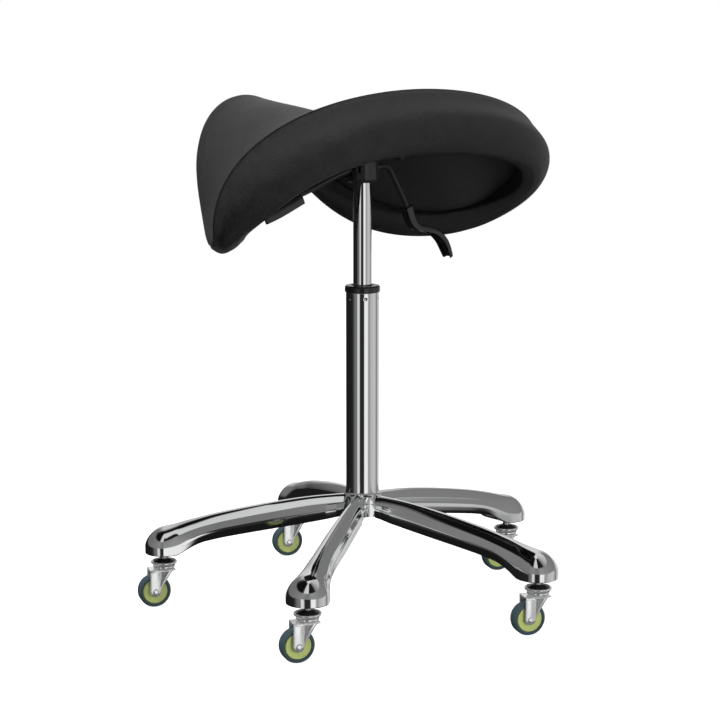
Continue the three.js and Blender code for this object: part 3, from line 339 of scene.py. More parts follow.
def half_arm():
    """Half of one arm, y >= 0, as a grid: columns run from the valley between two arms, along the fillet, the side
    and the foot's tip; rows run from the ridge over the crown, down the side and in under the arm to its middle."""
    reach_knots = hub_reach + (stem_circle - hub_reach) * arm_table[:, 0]
    half_sector = math.pi / arm_count
    side = half_width * hub_share
    middle = (side + valley_fillet) / math.sin(half_sector) * on_circle(half_sector)
    tangent = middle[0]

    # Columns: outer plan points, inner plan points and the reaches that heights are read at.
    t = np.linspace(0, 1, 15)
    outer_a = middle + valley_fillet * on_circle(math.pi + half_sector + (math.pi / 2 - half_sector) * t)
    inner_a = hub_bore * on_circle(half_sector * (1 - t))
    spots = [tangent + np.arange(1, 17) * 0.75, np.arange(54, 279, 4.5), np.arange(281, stem_circle - 1, 1.6)]
    spots += [rib + np.array([-2.6, -1.6, -1.0, 1.0, 1.6, 2.6]) for rib in rib_reaches]
    channel_start, channel_end = channel_reach
    spots.append(np.array([channel_end - 1, channel_end, channel_end + 1, stem_circle]))
    x = np.unique(np.round(np.concatenate(spots), 3))
    half = through(reach_knots, half_width * arm_table[:, 3], x)
    half = np.where(x < side_blend, side + (half - side) * step_up(x, tangent, side_blend), half)
    behind = (tangent - hub_bore) * (1 - step_up(x, tangent, ridge_blend))
    outer_b = np.stack([x, half], -1)
    inner_b = np.stack([x - behind, np.zeros_like(x)], -1)
    turn = np.linspace(0, math.pi / 2, 18)[1:]
    outer_c = [stem_circle, 0] + [foot_half_length, foot_half_width] * on_circle(turn)[:, ::-1]
    inner_c = outer_c * [1, 0]
    outer = np.vstack([outer_a, outer_b, outer_c])
    inner = np.vstack([inner_a, inner_b, inner_c])
    beyond = np.concatenate([np.zeros(len(t) + len(x)), np.sin(turn)])
    at_stem = np.full(len(turn), stem_circle)
    top_reach = np.concatenate([np.full(len(t), hub_bore), inner_b[:, 0], at_stem])
    low_reach = np.concatenate([np.full(len(t), hub_reach), x, at_stem])
    top = foot_height + arm_rise * through(reach_knots, arm_table[:, 1], top_reach)
    under = foot_height + np.maximum(arm_rise * through(reach_knots, arm_table[:, 2], low_reach), 0)
    bell = step_up((low_reach - hub_reach) / (stem_circle - hub_reach), *bell_reach)

    # Rows down the side: the arm's crown turns into the foot's bell.
    rows = np.linspace(0, len(crown_rows) - 1, 46)
    crown = through(np.arange(len(crown_rows)), crown_rows, rows)
    bell_side = np.clip(through(np.arange(len(bell_across)), bell_across, rows), 0, 1)[:, None]
    rim_share = rim_height / (arm_rise * arm_table[-1, 1])
    bell_up = rim_share + (1 - rim_share) * dome(bell_side, beyond)
    in_rim = rows >= rim_row
    bell_up[in_rim] = through(rim_row + np.arange(4), rim_up * rim_share / rim_up[0], rows[in_rim])[:, None]
    across = crown[:, :1] * (1 - bell) + bell_side * bell
    up = crown[:, 1:] * (1 - bell) + bell_up * bell
    rows = rows[:, None]
    near_hub = np.concatenate([np.ones(len(t)), 1 - step_up(x, flute_reach, flute_reach + 1.4), np.zeros(len(turn))])
    across = across - flute_depth * step_up(rows, *flute_rows) * near_hub
    in_valley = np.concatenate([np.cos(t * math.pi / 2), np.zeros(len(x) + len(turn))])
    across = across + (1 - across) * in_valley * step_up(rows, *valley_rows)
    plan = inner + (outer - inner) * across[..., None]
    height = under + (top - under) * up
    gap = np.clip(np.hypot(plan[..., 0], plan[..., 1]) - hub_bore, 0, hub_fillet)
    swell = hub_fillet - np.sqrt(np.maximum(hub_fillet**2 - (hub_fillet - gap) ** 2, 0))
    height = height + swell * (1 - step_up(rows, *fillet_rows))
    shell = np.concatenate([plan, height[..., None]], -1)

    # Rows under the arm: wall, open channel with its ribs, and the ring pocket under the foot.
    edge = across[-1]
    wall_share = np.clip(1 - channel_wall / np.maximum(np.hypot(*(outer - inner).T), 1e-6), 0, 1)
    shares = [edge + (wall_share - edge) * s for s in (0.35, 0.7, 1.0)]
    shares += [wall_share * s for s in (0.93, 0.86, 0.72, 0.58, 0.44, 0.3, 0.15, 0)]
    below = np.stack(shares)
    plan = inner + (outer - inner) * below[..., None]
    reach, off = plan[..., 0], plan[..., 1]
    inside = step_up(reach, channel_start, channel_start + 1) * (1 - step_up(reach, channel_end - 1, channel_end))
    for rib in rib_reaches:
        inside = inside * step_up(np.abs(reach - rib), *rib_half)
    depth = inside * (below <= wall_share * 0.94) * channel_share * (top - under)
    ring = np.hypot(reach - stem_circle, off)
    inner_ring, outer_ring, pocket_depth = foot_pocket
    pocket = step_up(ring, inner_ring, inner_ring + 1) * (1 - step_up(ring, outer_ring - 1, outer_ring))
    belly = np.concatenate([plan, (under + depth + pocket * pocket_depth)[..., None]], -1)
    skin = np.concatenate([shell, belly], 0)
    bore = np.stack([skin[0, : len(t)], skin[-1, : len(t)]], 0)
    return [skin, bore]


arm_turns = [front_arm_turn + i * 2 * math.pi / arm_count for i in range(arm_count)]
whole_arm = [grid * [1, way, 1] for way in (1, -1) for grid in half_arm()]
arm_grids = [turned(grid, turn - math.pi / 2) for turn in arm_turns for grid in whole_arm]


def variation_group():
    """Colour, roughness and height that drift slowly over a surface, with a finer speckle on top, as any made surface
    has: two noises on the piece's own coordinates."""
    group = bpy.data.node_groups.new("surface_variation", "ShaderNodeTree")
    face = group.interface
    inputs = [("Colour", "Color", (0.5, 0.5, 0.5, 1)), ("Shade", "Float", 0.1), ("Roughness", "Float", 0.4),
              ("Spread", "Float", 0.1), ("Broad", "Float", 20.0), ("Fine", "Float", 900.0)]  # fmt: skip
    for name, kind, start in inputs:
        face.new_socket(name=name, in_out="INPUT", socket_type="NodeSocket" + kind).default_value = start
    for name, kind in (("Colour", "Color"), ("Roughness", "Float"), ("Height", "Float")):
        face.new_socket(name=name, in_out="OUTPUT", socket_type="NodeSocket" + kind)
    given = group.nodes.new("NodeGroupInput").outputs
    place = wire(group, "ShaderNodeTexCoord").outputs["Object"]

    def noise(scale, detail):
        links = [("Vector", place), ("Scale", given[scale]), ("Detail", detail)]
        return wire(group, "ShaderNodeTexNoise", links).outputs["Fac"]

    both = calc(group, "MULTIPLY_ADD", noise("Fine", 2.0), 0.4, calc(group, "MULTIPLY", noise("Broad", 3.0), 0.6))
    off = calc(group, "SUBTRACT", both, 0.5)
    level = calc(group, "MULTIPLY_ADD", off, given["Shade"], 1.0)
    colour = wire(group, "ShaderNodeVectorMath", [(0, given["Colour"]), ("Scale", level)], operation="SCALE")
    rough = calc(group, "MULTIPLY_ADD", off, given["Spread"], given["Roughness"], clamp=True)
    wire(group, "NodeGroupOutput", [("Colour", colour.outputs[0]), ("Roughness", rough), ("Height", both)])
    return group


variation = variation_group()


def finish(name, colour, roughness, metallic=0.0, *, shade, spread, broad, fine, bump=0.1, depth=0.0002, **sockets):
    """A material whose colour, roughness and relief come from the variation group, drifting by shade and spread at a
    broad and a fine scale; plain constants sit on the shader."""
    made = bpy.data.materials.new(name)
    made.use_nodes = True
    tree = made.node_tree
    shader = tree.nodes["Principled BSDF"]
    shader.inputs["Metallic"].default_value = metallic
    for key, value in sockets.items():
        shader.inputs[key.replace("_", " ")].default_value = value
    drift = wire(tree, "ShaderNodeGroup", node_tree=variation)
    values = {"Shade": shade, "Roughness": roughness, "Spread": spread, "Broad": broad, "Fine": fine}
    for key, value in {"Colour": (*colour, 1), **values}.items():
        drift.inputs[key].default_value = value
    tree.links.new(drift.outputs["Colour"], shader.inputs["Base Color"])
    tree.links.new(drift.outputs["Roughness"], shader.inputs["Roughness"])
    relief = [("Strength", bump), ("Distance", depth), ("Height", drift.outputs["Height"])]
    tree.links.new(wire(tree, "ShaderNodeBump", relief).outputs["Normal"], shader.inputs["Normal"])
    return made


def fit(made, body, slot, material, *nodes):
    """Dresses a piece, lets it ride on its body and stand for its nodes of the solid part."""
    made.data.materials.append(material)
    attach(made, body)
    if nodes:
        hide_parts(*nodes)
    return made


chrome = (0.86, 0.865, 0.87)
cast_chrome = finish(
    "cast_chrome", chrome, 0.05, 1, shade=0.05, spread=0.04, broad=14, fine=300, bump=0.04, depth=0.0006
)
fit(piece("chromed_star_base", arm_grids, 32), "base", "cast_base", cast_chrome, "star_base")

# ------------------------------------------------
# Column: a drawn steel tube pressed into the base's taper, chromed, with small crimps near its
# mouth that hold a black moulded guide bush, whose flange covers the tube's end.
# ------------------------------------------------
tube_radius = 25
tube_bottom, tube_top = (v[2] * 1000 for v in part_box("column_tube"))
bush_low, bush_high = (v[2] * 1000 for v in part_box("guide_bush"))
bush_bore, sleeve_radius, flange_radius = 14.35, 22.7, 26.65
crimp_count, crimp_turn = 6, math.radians(18)
crimp_drop, crimp_depth, crimp_half = 9, 0.9, 2.0


def softened(profile, radius):
    """An open profile with each inner corner cut back by the radius and rounded by a parabola."""
    profile = np.asarray(profile, float)
    made = [profile[:1]]
    t = np.linspace(0, 1, 5)[:, None]
    for before, corner, after in zip(profile[:-2], profile[1:-1], profile[2:], strict=True):
        sides = before - corner, after - corner
        reach = min(radius, *(np.hypot(*side) * 0.45 for side in sides))
        a, b = (corner + side / np.hypot(*side) * reach for side in sides)
        made.append(a * (1 - t) ** 2 + corner * 2 * t * (1 - t) + b * t * t)
    made.append(profile[-1:])
    return np.concatenate(made)


def turned_piece(profile, sides=72):
    """A profile of (radius, height) carried once round the Z axis."""
    r, z = np.asarray(profile, float).T[..., None]
    angle = np.linspace(0, 2 * math.pi, sides + 1)
    return np.stack([r * np.cos(angle), r * np.sin(angle), z + 0 * angle], -1)


def tube_with_crimps():
    """The tube's grid, with fine rows near its mouth where round dimples are pressed in at even angles."""
    r, low, high = tube_radius, tube_bottom, tube_top
    outside = [[0, low], [r - 0.5, low], [r, low + 30]] + [[r, z] for z in np.linspace(high - 20, high - 1.4, 32)]
    lip = [[r - 0.2, high - 0.3], [r - 1, high], [r - 2, high - 0.6], [r - 2, low + 6], [0, low + 6]]
    grid = turned_piece(outside + lip, 144)
    angle = np.linspace(0, 2 * math.pi, 145) + crimp_turn
    between = 2 * math.pi / crimp_count
    nearest = (angle + between / 2) % between - between / 2
    radius = np.hypot(grid[..., 0], grid[..., 1])
    away = np.hypot(nearest * r, (grid[..., 2] - (high - crimp_drop)) * 1.15)
    dent = crimp_depth * np.exp(-((away / crimp_half) ** 4)) * (radius > r - 0.1)
    grid[..., :2] *= (1 - dent / np.maximum(radius, 1))[..., None]
    return grid


tube_chrome = finish(
    "tube_chrome", chrome, 0.045, 1, shade=0.04, spread=0.03, broad=10, fine=260, bump=0.015, depth=0.0004
)
fit(piece("chromed_column", [tube_with_crimps()]), "base", "chromed_tube", tube_chrome, "column_tube")

plastic_black = (0.013, 0.013, 0.014)
black_plastic = finish(
    "moulded_black_plastic", plastic_black, 0.2, shade=0.5, spread=0.16, broad=60, fine=2600, bump=0.06, depth=0.0001
)
bush_profile = [
    [bush_bore, bush_low], [sleeve_radius, bush_low], [sleeve_radius, tube_top + 0.3],
    [flange_radius, tube_top + 0.3], [flange_radius, bush_high - 2.2], [25.3, bush_high], [17.5, bush_high],
    [16.2, bush_high - 1.2], [bush_bore, bush_high - 1.2], [bush_bore, bush_low],
]  # fmt: skip
bush_grid = turned_piece(softened(bush_profile, 0.9))
fit(piece("guide_bush_ring", [bush_grid]), "base", "black_plastic", black_plastic, "guide_bush")

# ------------------------------------------------
# Lift: the chromed pressure tube of the gas spring, a plain cylinder that thins to a taper where
# the seat mechanism grips it, with its ground steel release button standing out of the top.
# ------------------------------------------------
lift_radius, lift_top_radius, lift_taper, gland_radius = 14, 12.6, 60, 5.4
lift_low, lift_high = (v[2] * 1000 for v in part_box("pressure_tube"))
lift_profile = [
    [0, lift_low + 4], [gland_radius, lift_low + 4], [gland_radius, lift_low], [lift_radius, lift_low],
    [lift_radius, lift_high - lift_taper], [lift_top_radius, lift_high], [0, lift_high],
]  # fmt: skip
lift_grid = turned_piece(softened(lift_profile, 0.8))
spring_chrome = finish(
    "spring_chrome", chrome, 0.05, 1, shade=0.03, spread=0.03, broad=12, fine=400, bump=0.01, depth=0.0003
)
fit(piece("chromed_pressure_tube", [lift_grid]), "lift", "chromed_tube", spring_chrome, "pressure_tube")


def dress(material, *names):
    """Gives a better material to nodes of the solid part that keep their own mesh."""
    for name in names:
        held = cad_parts[name].data.materials
        held.clear()
        held.append(material)


ground_steel = finish(
    "ground_steel", (0.56, 0.57, 0.58), 0.3, 1, shade=0.25, spread=0.2, broad=50, fine=1800, depth=0.0001
)
dress(ground_steel, "release_button", "piston_rod", "rod_clip", "bottom_washer", "top_washer", "thrust_bearing")

# ------------------------------------------------
# Mechanism: a black painted steel housing on the spring's taper, with the tilt pin through its
# nose, carrying the seat plate. Pins and bolts are zinc plated and passivated black.
# ------------------------------------------------
black_paint = finish(
    "black_painted_steel", (0.012, 0.012, 0.013), 0.32, shade=0.4, spread=0.18, broad=40, fine=1500, depth=0.00015
)
zinc_black = (0.03, 0.03, 0.032)
black_zinc = finish(
    "black_zinc_plate", zinc_black, 0.34, 0.6, shade=0.4, spread=0.2, broad=70, fine=1400, bump=0.08, depth=0.00015
)
dress(black_paint, "mechanism_housing", "seat_plate")
dress(black_zinc, "tilt_pin", "lift_lever_pin", "tilt_lever_pin", *["seat_bolt_" + str(i) for i in range(1, 5)])

# ------------------------------------------------
# Levers: bent steel rods, painted black, that turn on pins beside the spring's top, with black
# moulded hand paddles pushed on their ends. One works the lift, the other frees the tilt.
# ------------------------------------------------
seat_turn = math.pi + 0.68
lever_pivot = (20.6, sum(v[2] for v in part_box("lift_lever_pin")) * 500)
rod_radius, rod_rings = 4, 60
lever_hub_radius, lever_hub_half = 3.8, 4
finger_half, finger_wide = 2.4, 3
paddle_width, paddle_thickness, paddle_wall, paddle_rings = 24, 14, 2.2, 46
tip_narrow, block_gap = 0.86, 0.8


def along_line(points, count):
    """Evenly counted points on a smooth curve through the given ones, measured by chord length."""
    points = np.asarray(points, float)
    length = np.concatenate([[0], np.cumsum(np.linalg.norm(np.diff(points, axis=0), axis=1))])
    return through(length, points, np.linspace(0, length[-1], count))


def capped(grid):
    """A grid whose first and last rings are closed to their middles."""
    ends = [np.repeat(grid[i].mean(0)[None, None], grid.shape[1], 1) for i in (0, -1)]
    return np.concatenate([ends[0], grid, ends[1]], 0)


def swept(path, section):
    """Rings of a section carried along a path in the XZ plane: section holds (along Y, along the path's normal) for
    each ring, and both ends are closed."""
    path = np.asarray(path, float)
    along = np.gradient(path, axis=0)
    along /= np.linalg.norm(along, axis=1)[:, None]
    normal = np.stack([-along[:, 1], along[:, 0]], -1)
    x = path[:, None, 0] + normal[:, None, 0] * section[..., 1]
    z = path[:, None, 1] + normal[:, None, 1] * section[..., 1]
    return capped(np.stack([x, section[..., 0], z], -1))


def round_section(radii):
    """One circle for each radius."""
    return on_circle(np.linspace(0, 2 * math.pi, 21)) * radii[:, None, None]


def lever_points(reach, shares):
    """Points of a lever's line, given as shares of its reach, out from the column and up from the pivot."""
    shares = np.asarray(shares, float)
    return np.stack([reach * shares[:, 0], lever_pivot[1] + reach * shares[:, 1]], -1)


def seat_frame(grid, half_turn=0.0):
    """From the seat's own axes, where Y points to the rear, to the frame of the stool."""
    return turned(grid, seat_turn + half_turn)


def paddle_grids(points, widths, thicks, closed_share):
    """A hand paddle: a channel section, rounded on top and open below, whose width and depth change along its line,
    with a block filling its first part round the rod."""
    path = along_line(points, paddle_rings)
    share = np.linspace(0, 1, paddle_rings)
    knots = np.linspace(0, 1, len(widths))
    half = through(knots, widths, share) * paddle_width / 2
    half[-1] *= tip_narrow
    thick = through(knots, thicks, share) * paddle_thickness / 2
    outside = np.array([[1, -1], [1, -0.4], [1, 0.3], [0.93, 0.62], [0.76, 0.88], [0.5, 1], [0, 1.03]])
    outside = np.vstack([outside, (outside * [-1, 1])[-2::-1]])
    outer = outside[None] * np.stack([half, thick], -1)[:, None]
    inner = outside[None] * np.stack([half - paddle_wall, thick - paddle_wall], -1)[:, None]
    inner[:, [0, -1], 1] = outer[:, [0, -1], 1]
    loop = np.concatenate([outer, inner[:, ::-1], outer[:, :1]], 1)
    whole = swept(path, loop)[1:-1]
    count_out = len(outside)
    caps = [np.stack([row[:count_out], row[count_out : 2 * count_out][::-1]], 0) for row in (whole[0], whole[-1])]
    filled = max(int(paddle_rings * closed_share), 3)
    block = outside * np.stack([half - block_gap, thick - block_gap], -1)[:filled, None]
    block = np.concatenate([block, block[:, :1]], 1)
    return [whole, *caps, swept(path[:filled], block)]


lift_reach, tilt_reach = 172.6, 186.9
lift_rod_shares = [
    [0.119, 0], [0.177, 0.008], [0.23, 0.014], [0.27, 0.01], [0.302, -0.012], [0.356, -0.098], [0.482, -0.315],
    [0.512, -0.374], [0.54, -0.44],
]  # fmt: skip
lift_paddle_shares = [
    [0.506, -0.358], [0.532, -0.42], [0.566, -0.495], [0.624, -0.542], [0.706, -0.56], [0.824, -0.6],
    [0.918, -0.677], [0.977, -0.783], [1, -0.836],
]  # fmt: skip
tilt_rod_shares = [[0.11, 0], [0.272, -0.049], [0.489, -0.13], [0.717, -0.207]]
tilt_paddle_shares = [[0.63, -0.207], [0.76, -0.258], [0.89, -0.31], [1, -0.353]]
# name, body, reach, lines of rod and paddle, shares of the paddle's width and thickness along it, half turn from the
# seat's own axes, share of the paddle that is filled, where the finger ends
levers = [
    ("lift", "height_lever", lift_reach, lift_rod_shares, lift_paddle_shares,
     [0.66, 0.66, 0.74, 0.9, 1, 1, 1, 0.95, 0.8], [1, 1, 0.9, 0.72, 0.66, 0.66, 0.66, 0.6, 0.5], math.pi, 0.3, -2.0),
    ("tilt", "tilt_lever", tilt_reach, tilt_rod_shares, tilt_paddle_shares, [0.8, 0.9, 0.95, 0.9],
     [0.95, 1, 1, 0.85], 0.0, 0.2, 13.0),
]  # fmt: skip
pivot_x, pivot_z = lever_pivot
finger_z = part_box("lift_lever_rod")[1][2] * 1000 - finger_half
for name, body, reach, rod_shares, paddle_shares, widths, thicks, half_turn, closed_share, finger_end in levers:
    rod_path = along_line(lever_points(reach, rod_shares), rod_rings)
    radii = np.full(rod_rings, float(rod_radius))
    radii[[0, -1]] *= 0.8
    hub_profile = [[0, -1], [1, -1], [1, 1], [0, 1]] * np.array([lever_hub_radius, lever_hub_half])
    hub = turned_piece(softened(hub_profile, 0.5), 32)
    hub = np.stack([hub[..., 0] + pivot_x, hub[..., 2], hub[..., 1] + pivot_z], -1)
    finger = [[pivot_x, pivot_z], [pivot_x + 0.6, finger_z - 4], [pivot_x - 3, finger_z], [finger_end, finger_z]]
    bar = [[-1, -1], [1, -1], [1, 1], [-1, 1], [-1, -1]] * np.array([finger_wide, finger_half])
    finger_grid = swept(finger, np.repeat(bar[None], len(finger), 0))
    rod_grids = [seat_frame(g, half_turn) for g in (swept(rod_path, round_section(radii)), hub, finger_grid)]
    fit(piece(name + "_lever_bar", rod_grids), body, "black_steel", black_paint, name + "_lever_rod")
    paddle = paddle_grids(lever_points(reach, paddle_shares), widths, thicks, closed_share)
    paddle = [seat_frame(g, half_turn) for g in paddle]
    fit(piece(name + "_hand_paddle", paddle, 34), body, "black_plastic", black_plastic, name + "_paddle")

# ------------------------------------------------
# Seat: a saddle of moulded foam on a formed plywood shell, covered in black leatherette. A top
# panel and a side band meet in one seam; the band wraps round the thick rim and in under it.
# Sculpted in code on the same sheet that the solid follows, at a finer grid.
# ------------------------------------------------
arch_half = 320
seat_rear, seat_front, seat_back = 155.3, 287.3, -17
middle_fold, rear_fold, front_fold, fold_power = 1.174, 0.497, 2.9, 0.957
fold_crossing = 45
rear_rise, rear_rise_power, rear_hold = 40.4, 1.94, -0.434
edge_ease = 0.4
waist_dip, waist_place, waist_length = 8, 95, 60
front_rise, front_rise_power, front_hold = 20.1, 3.5, 0.503
wing_sweep = -21.5
rear_square, front_square, front_taper, wing_power = 3.35, 2.34, 0.157, 7
seat_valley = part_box("seat_plate")[1][2] * 1000 + 0.3 + 59.7
pad_crown = 3.2
rear_rim_depth, front_rim_depth, wing_depth = 91.7, 77, 46.3
rim_bulge, bulge_power, rim_lip = 24, 1.27, 13.8
wing_flatter, shoulder_flatter = 2, 0.7
lip_rise = 6.4
recess_inset = 34.6
corner_round, wing_round = 10, 14
wing_shoulder = 3
# How far round to the wings, as shares of the way across, the shoulder, the rounding and the seam change.
shoulder_range, rounding_range, seam_range = (0.45, 0.88), (0.5, 0.9), (0.35, 0.85)
taper_ease = 0.2
seam_depth, seam_half, seam_outward, seam_inward = 4.4, 1.2, 9, -3
puff_height, puff_away, puff_half = 0.8, 3.2, 1.8
seam_lift, groove_slant = 0.5, 0.7
# Shares of the rim's depth at which the band ends and the foam is no longer soft.
band_end, soft_end = 0.93, 0.8
foam_middle, foam_wing = 36, 15
shell_sheet = 11.7


def saddle_point(across, along, soft=0.0):
    """A point of the saddle sheet: an arch across the seat whose fold changes along it, raised at both ends. The arch
    is the sum of twelve short straight pieces, each turned a little more than the last. Soft, from 0 to 1, is how far
    the foam levels off towards the rear edge and settles in front of the middle; the shell below has none of it."""
    behind = along > 0
    u = np.abs(across) / arch_half
    v = np.abs(along) / np.where(behind, seat_rear, seat_front)
    level_off = np.where(behind, soft * edge_ease * (v**2 - v**3), 0)
    ends = np.log(np.array([rear_fold, front_fold]) / middle_fold) / [seat_rear, seat_front]
    crossing = along * np.tanh(along / fold_crossing)
    change = (ends[0] - ends[1]) / 2 * along + (ends[0] + ends[1]) / 2 * crossing
    fold = middle_fold * np.exp(change + np.where(behind, ends[0] * seat_rear * level_off, 0))
    steps = (np.arange(12) + 0.5) / 12
    turn = fold[..., None] * (u[..., None] * steps) ** fold_power
    level, drop = np.cos(turn).mean(-1), np.sin(turn).mean(-1)
    formed = v**rear_rise_power
    eased = soft * (1.8 * v**2 - 0.8 * v**3 - formed)
    rise = np.where(behind, rear_rise * (formed + eased), front_rise * v**front_rise_power)
    rise = rise - soft * waist_dip * np.exp(-(((along + waist_place) / waist_length) ** 2)) * (1 - u * u)
    hold = np.where(behind, rear_hold, front_hold)
    z = seat_valley - np.abs(across) * drop + rise * (1 - hold * u * u)
    return np.stack([across * level, along + seat_back + wing_sweep * u * u, z], -1)


def saddle_offset(across, along, depth, soft):
    """The same point sunk below the sheet along its normal."""
    dx = saddle_point(across + 1, along, soft) - saddle_point(across - 1, along, soft)
    dy = saddle_point(across, along + 1, soft) - saddle_point(across, along - 1, soft)
    normal = np.cross(dx, dy)
    normal /= np.linalg.norm(normal, axis=-1)[..., None]
    return saddle_point(across, along, soft) - normal * np.asarray(depth)[..., None]


seat_columns = 300
seat_angle = (np.arange(seat_columns + 1) + 0.5) * 2 * math.pi / seat_columns
cos_a, sin_a = np.cos(seat_angle), np.sin(seat_angle)
sideways = np.abs(cos_a)
square = np.where(sin_a > 0, rear_square, front_square)
outline = (sideways**square + np.abs(sin_a) ** square) ** (-1 / square)
ahead = -outline * sin_a
taper = 1 - front_taper * (ahead + np.sqrt(ahead**2 + taper_ease**2) - taper_ease) / 2
edge_across = arch_half * outline * cos_a * taper
edge_along = np.where(sin_a > 0, seat_rear, seat_front) * outline * sin_a
edge_length = np.hypot(edge_across, edge_along)
wing = sideways**wing_power
rim = np.where(sin_a > 0, rear_rim_depth, front_rim_depth)
rim = rim + (wing_depth - rim) * wing
shoulder = wing_shoulder * step_up(sideways, *shoulder_range)
rounding = corner_round + (wing_round - corner_round) * step_up(sideways, *rounding_range)


def seat_row(share, depth, soft=0.0):
    """One ring of the seat at a share of its outline, given once or for each column, sunk by a depth."""
    share = np.broadcast_to(share, edge_across.shape)
    return saddle_offset(edge_across * share, edge_along * share, np.broadcast_to(depth, edge_across.shape), soft)


def inset_share(inset):
    """The share of the outline that lies at an inset from the edge, for each column."""
    return 1 - inset / edge_length


def foam_depth(share):
    """The foam's thickness, which falls off to the wings."""
    return foam_middle + (foam_wing - foam_middle) * share**2 * cos_a**2


def band_line(reach):
    """Inset and depth at a distance from the corner where top and band meet: above it when negative."""
    share = np.clip((reach - shoulder) / (rim - shoulder), 0, 1)
    swell = (rim_bulge - wing_flatter * wing - shoulder_flatter * shoulder) * np.sin(math.pi * share**bulge_power)
    inset = np.where(reach > shoulder, rim_lip * share**2 - shoulder * (1 - share) - swell, -reach)
    return inset, np.where(reach > shoulder, rim * share, 0.0)


def round_corner(reach, groove=0.0):
    """The same line with its corner rounded, by averaging over a window of its length, and sunk by a groove."""
    around = [band_line(reach + rounding * k) for k in np.linspace(-1, 1, 13)]
    inset, depth = np.mean([a[0] for a in around], 0), np.mean([a[1] for a in around], 0)
    soft = 1 - step_up(reach / rim, 0, soft_end)
    return seat_row(inset_share(inset + groove * groove_slant), depth + groove * groove_slant, soft)


def pad_grid():
    """Rings from the middle of the top over the seam, the round band and the lip, up the recess wall and in below."""
    rows = [seat_row(s, -pad_crown * (1 - s**4), 1.0) for s in np.sin(np.linspace(0, math.pi / 2 * 0.97, 34)) * 0.9]
    seam_place = seam_inward + (seam_outward - seam_inward) * step_up(sideways, *seam_range)
    for step in np.linspace(-24, -5.2, 12):
        rows.append(round_corner(seam_place + step, -seam_lift * step_up(step, -16, -5.2)))
    for step in np.linspace(-4.6, 4.6, 23):
        puff = puff_height * math.exp(-(((abs(step) - puff_away) / puff_half) ** 2))
        rows.append(round_corner(seam_place + step, seam_depth * math.exp(-((step / seam_half) ** 2)) - puff))
    start = (seam_place + 5.4) / rim
    rows += [round_corner((start + (band_end - start) * share) * rim) for share in np.linspace(0, 1, 40)]
    for turn in np.linspace(0, math.pi / 2, 12)[1:]:
        inset = rim_lip + (recess_inset - rim_lip) * math.sin(turn)
        rows.append(seat_row(inset_share(inset), rim - lip_rise * (1 - math.cos(turn))))
    recess = inset_share(recess_inset)
    wall, last = foam_depth(recess) + shell_sheet, rim - lip_rise
    rows += [seat_row(recess, last + (wall - last) * t) for t in np.linspace(0, 1, 7)[1:]]
    rows += [seat_row(recess * s, foam_depth(recess * s)) for s in (1, 0.82, 0.62, 0.44, 0.27, 0.1, 0)]
    return seat_frame(np.stack(rows))


leather_black = (0.0215, 0.0215, 0.022)
pebble_scale, pebble_limit = 300.0, 0.22
grain_scale, grain_share = 1050.0, 0.6
warp_scale, warp_reach = 260.0, 0.002
grain_strength, grain_depth = 0.9, 0.002


def leatherette_material():
    """Pressed leather grain: pebbles of two sizes as relief, bent out of shape a little by a noise."""
    made = finish(
        "black_leatherette", leather_black, 0.42, shade=1.1, spread=0.3, broad=55, fine=420, Specular_IOR_Level=0.32
    )
    tree = made.node_tree
    place = wire(tree, "ShaderNodeTexCoord").outputs["Object"]
    warp = wire(tree, "ShaderNodeTexNoise", [("Vector", place), ("Scale", warp_scale), ("Detail", 2.0)])
    bend = [(0, warp.outputs["Color"]), (1, [warp_reach] * 3), (2, place)]
    bent = wire(tree, "ShaderNodeVectorMath", bend, operation="MULTIPLY_ADD").outputs[0]

    def cells(scale):
        links = [("Vector", bent), ("Scale", scale)]
        return wire(tree, "ShaderNodeTexVoronoi", links, feature="DISTANCE_TO_EDGE").outputs["Distance"]

    pebbles = calc(tree, "MINIMUM", cells(pebble_scale), pebble_limit)
    relief = calc(tree, "MULTIPLY_ADD", cells(grain_scale), grain_share, pebbles)
    bump = wire(tree, "ShaderNodeBump", [("Strength", grain_strength), ("Distance", grain_depth), ("Height", relief)])
    tree.links.new(bump.outputs["Normal"], tree.nodes["Principled BSDF"].inputs["Normal"])
    return made


saddle = piece("saddle_cushion", [pad_grid()], 50)
fit(saddle, "seat", "leatherette", leatherette_material(), "seat_pad")

# The shell is pressed from thin veneers and stained dark; under it a sheet of black felt-like lining is stapled.
wood_brown, lining_black = (0.05, 0.037, 0.028), (0.018, 0.018, 0.019)
plywood = finish(
    "stained_plywood", wood_brown, 0.6, shade=0.8, spread=0.2, broad=30, fine=700, bump=0.2, depth=0.0003
)
dress(plywood, "seat_shell")
lining_trim, lining_gap, lining_sheet = 1.4, 0.6, 2
plate_window = (45.9, 62.9)


def lining_grid():
    """The lining's closed skin: in along its upper face, over the rectangle that the seat plate fills, and back out
    along its lower face, with a round edge."""
    trim = inset_share(recess_inset + lining_trim)
    high, low = shell_sheet + lining_gap, shell_sheet + lining_gap + lining_sheet

    def face(depth, shares):
        return [seat_row(trim * s, foam_depth(trim * s) + depth) for s in shares]

    window = [half / np.maximum(np.abs(edge), 1e-6) for half, edge in zip(plate_window, (edge_across, edge_along))]
    inner = np.clip(np.minimum(*window) / trim * 1.02, 0, 0.9)
    shares = [inner + (1 - inner) * t for t in np.linspace(0, 1, 22)]
    rows = face(low, shares) + face((low + high) / 2, [1.004]) + face(high, shares[::-1])
    return seat_frame(np.stack([*rows, rows[0]]))


lining_cloth = finish(
    "black_lining_cloth", lining_black, 0.82, shade=0.8, spread=0.1, broad=90, fine=2400, bump=0.35, depth=0.0003
)
fit(piece("lining_panel", [lining_grid()], 50), "seat", "lining", lining_cloth, "under_lining")

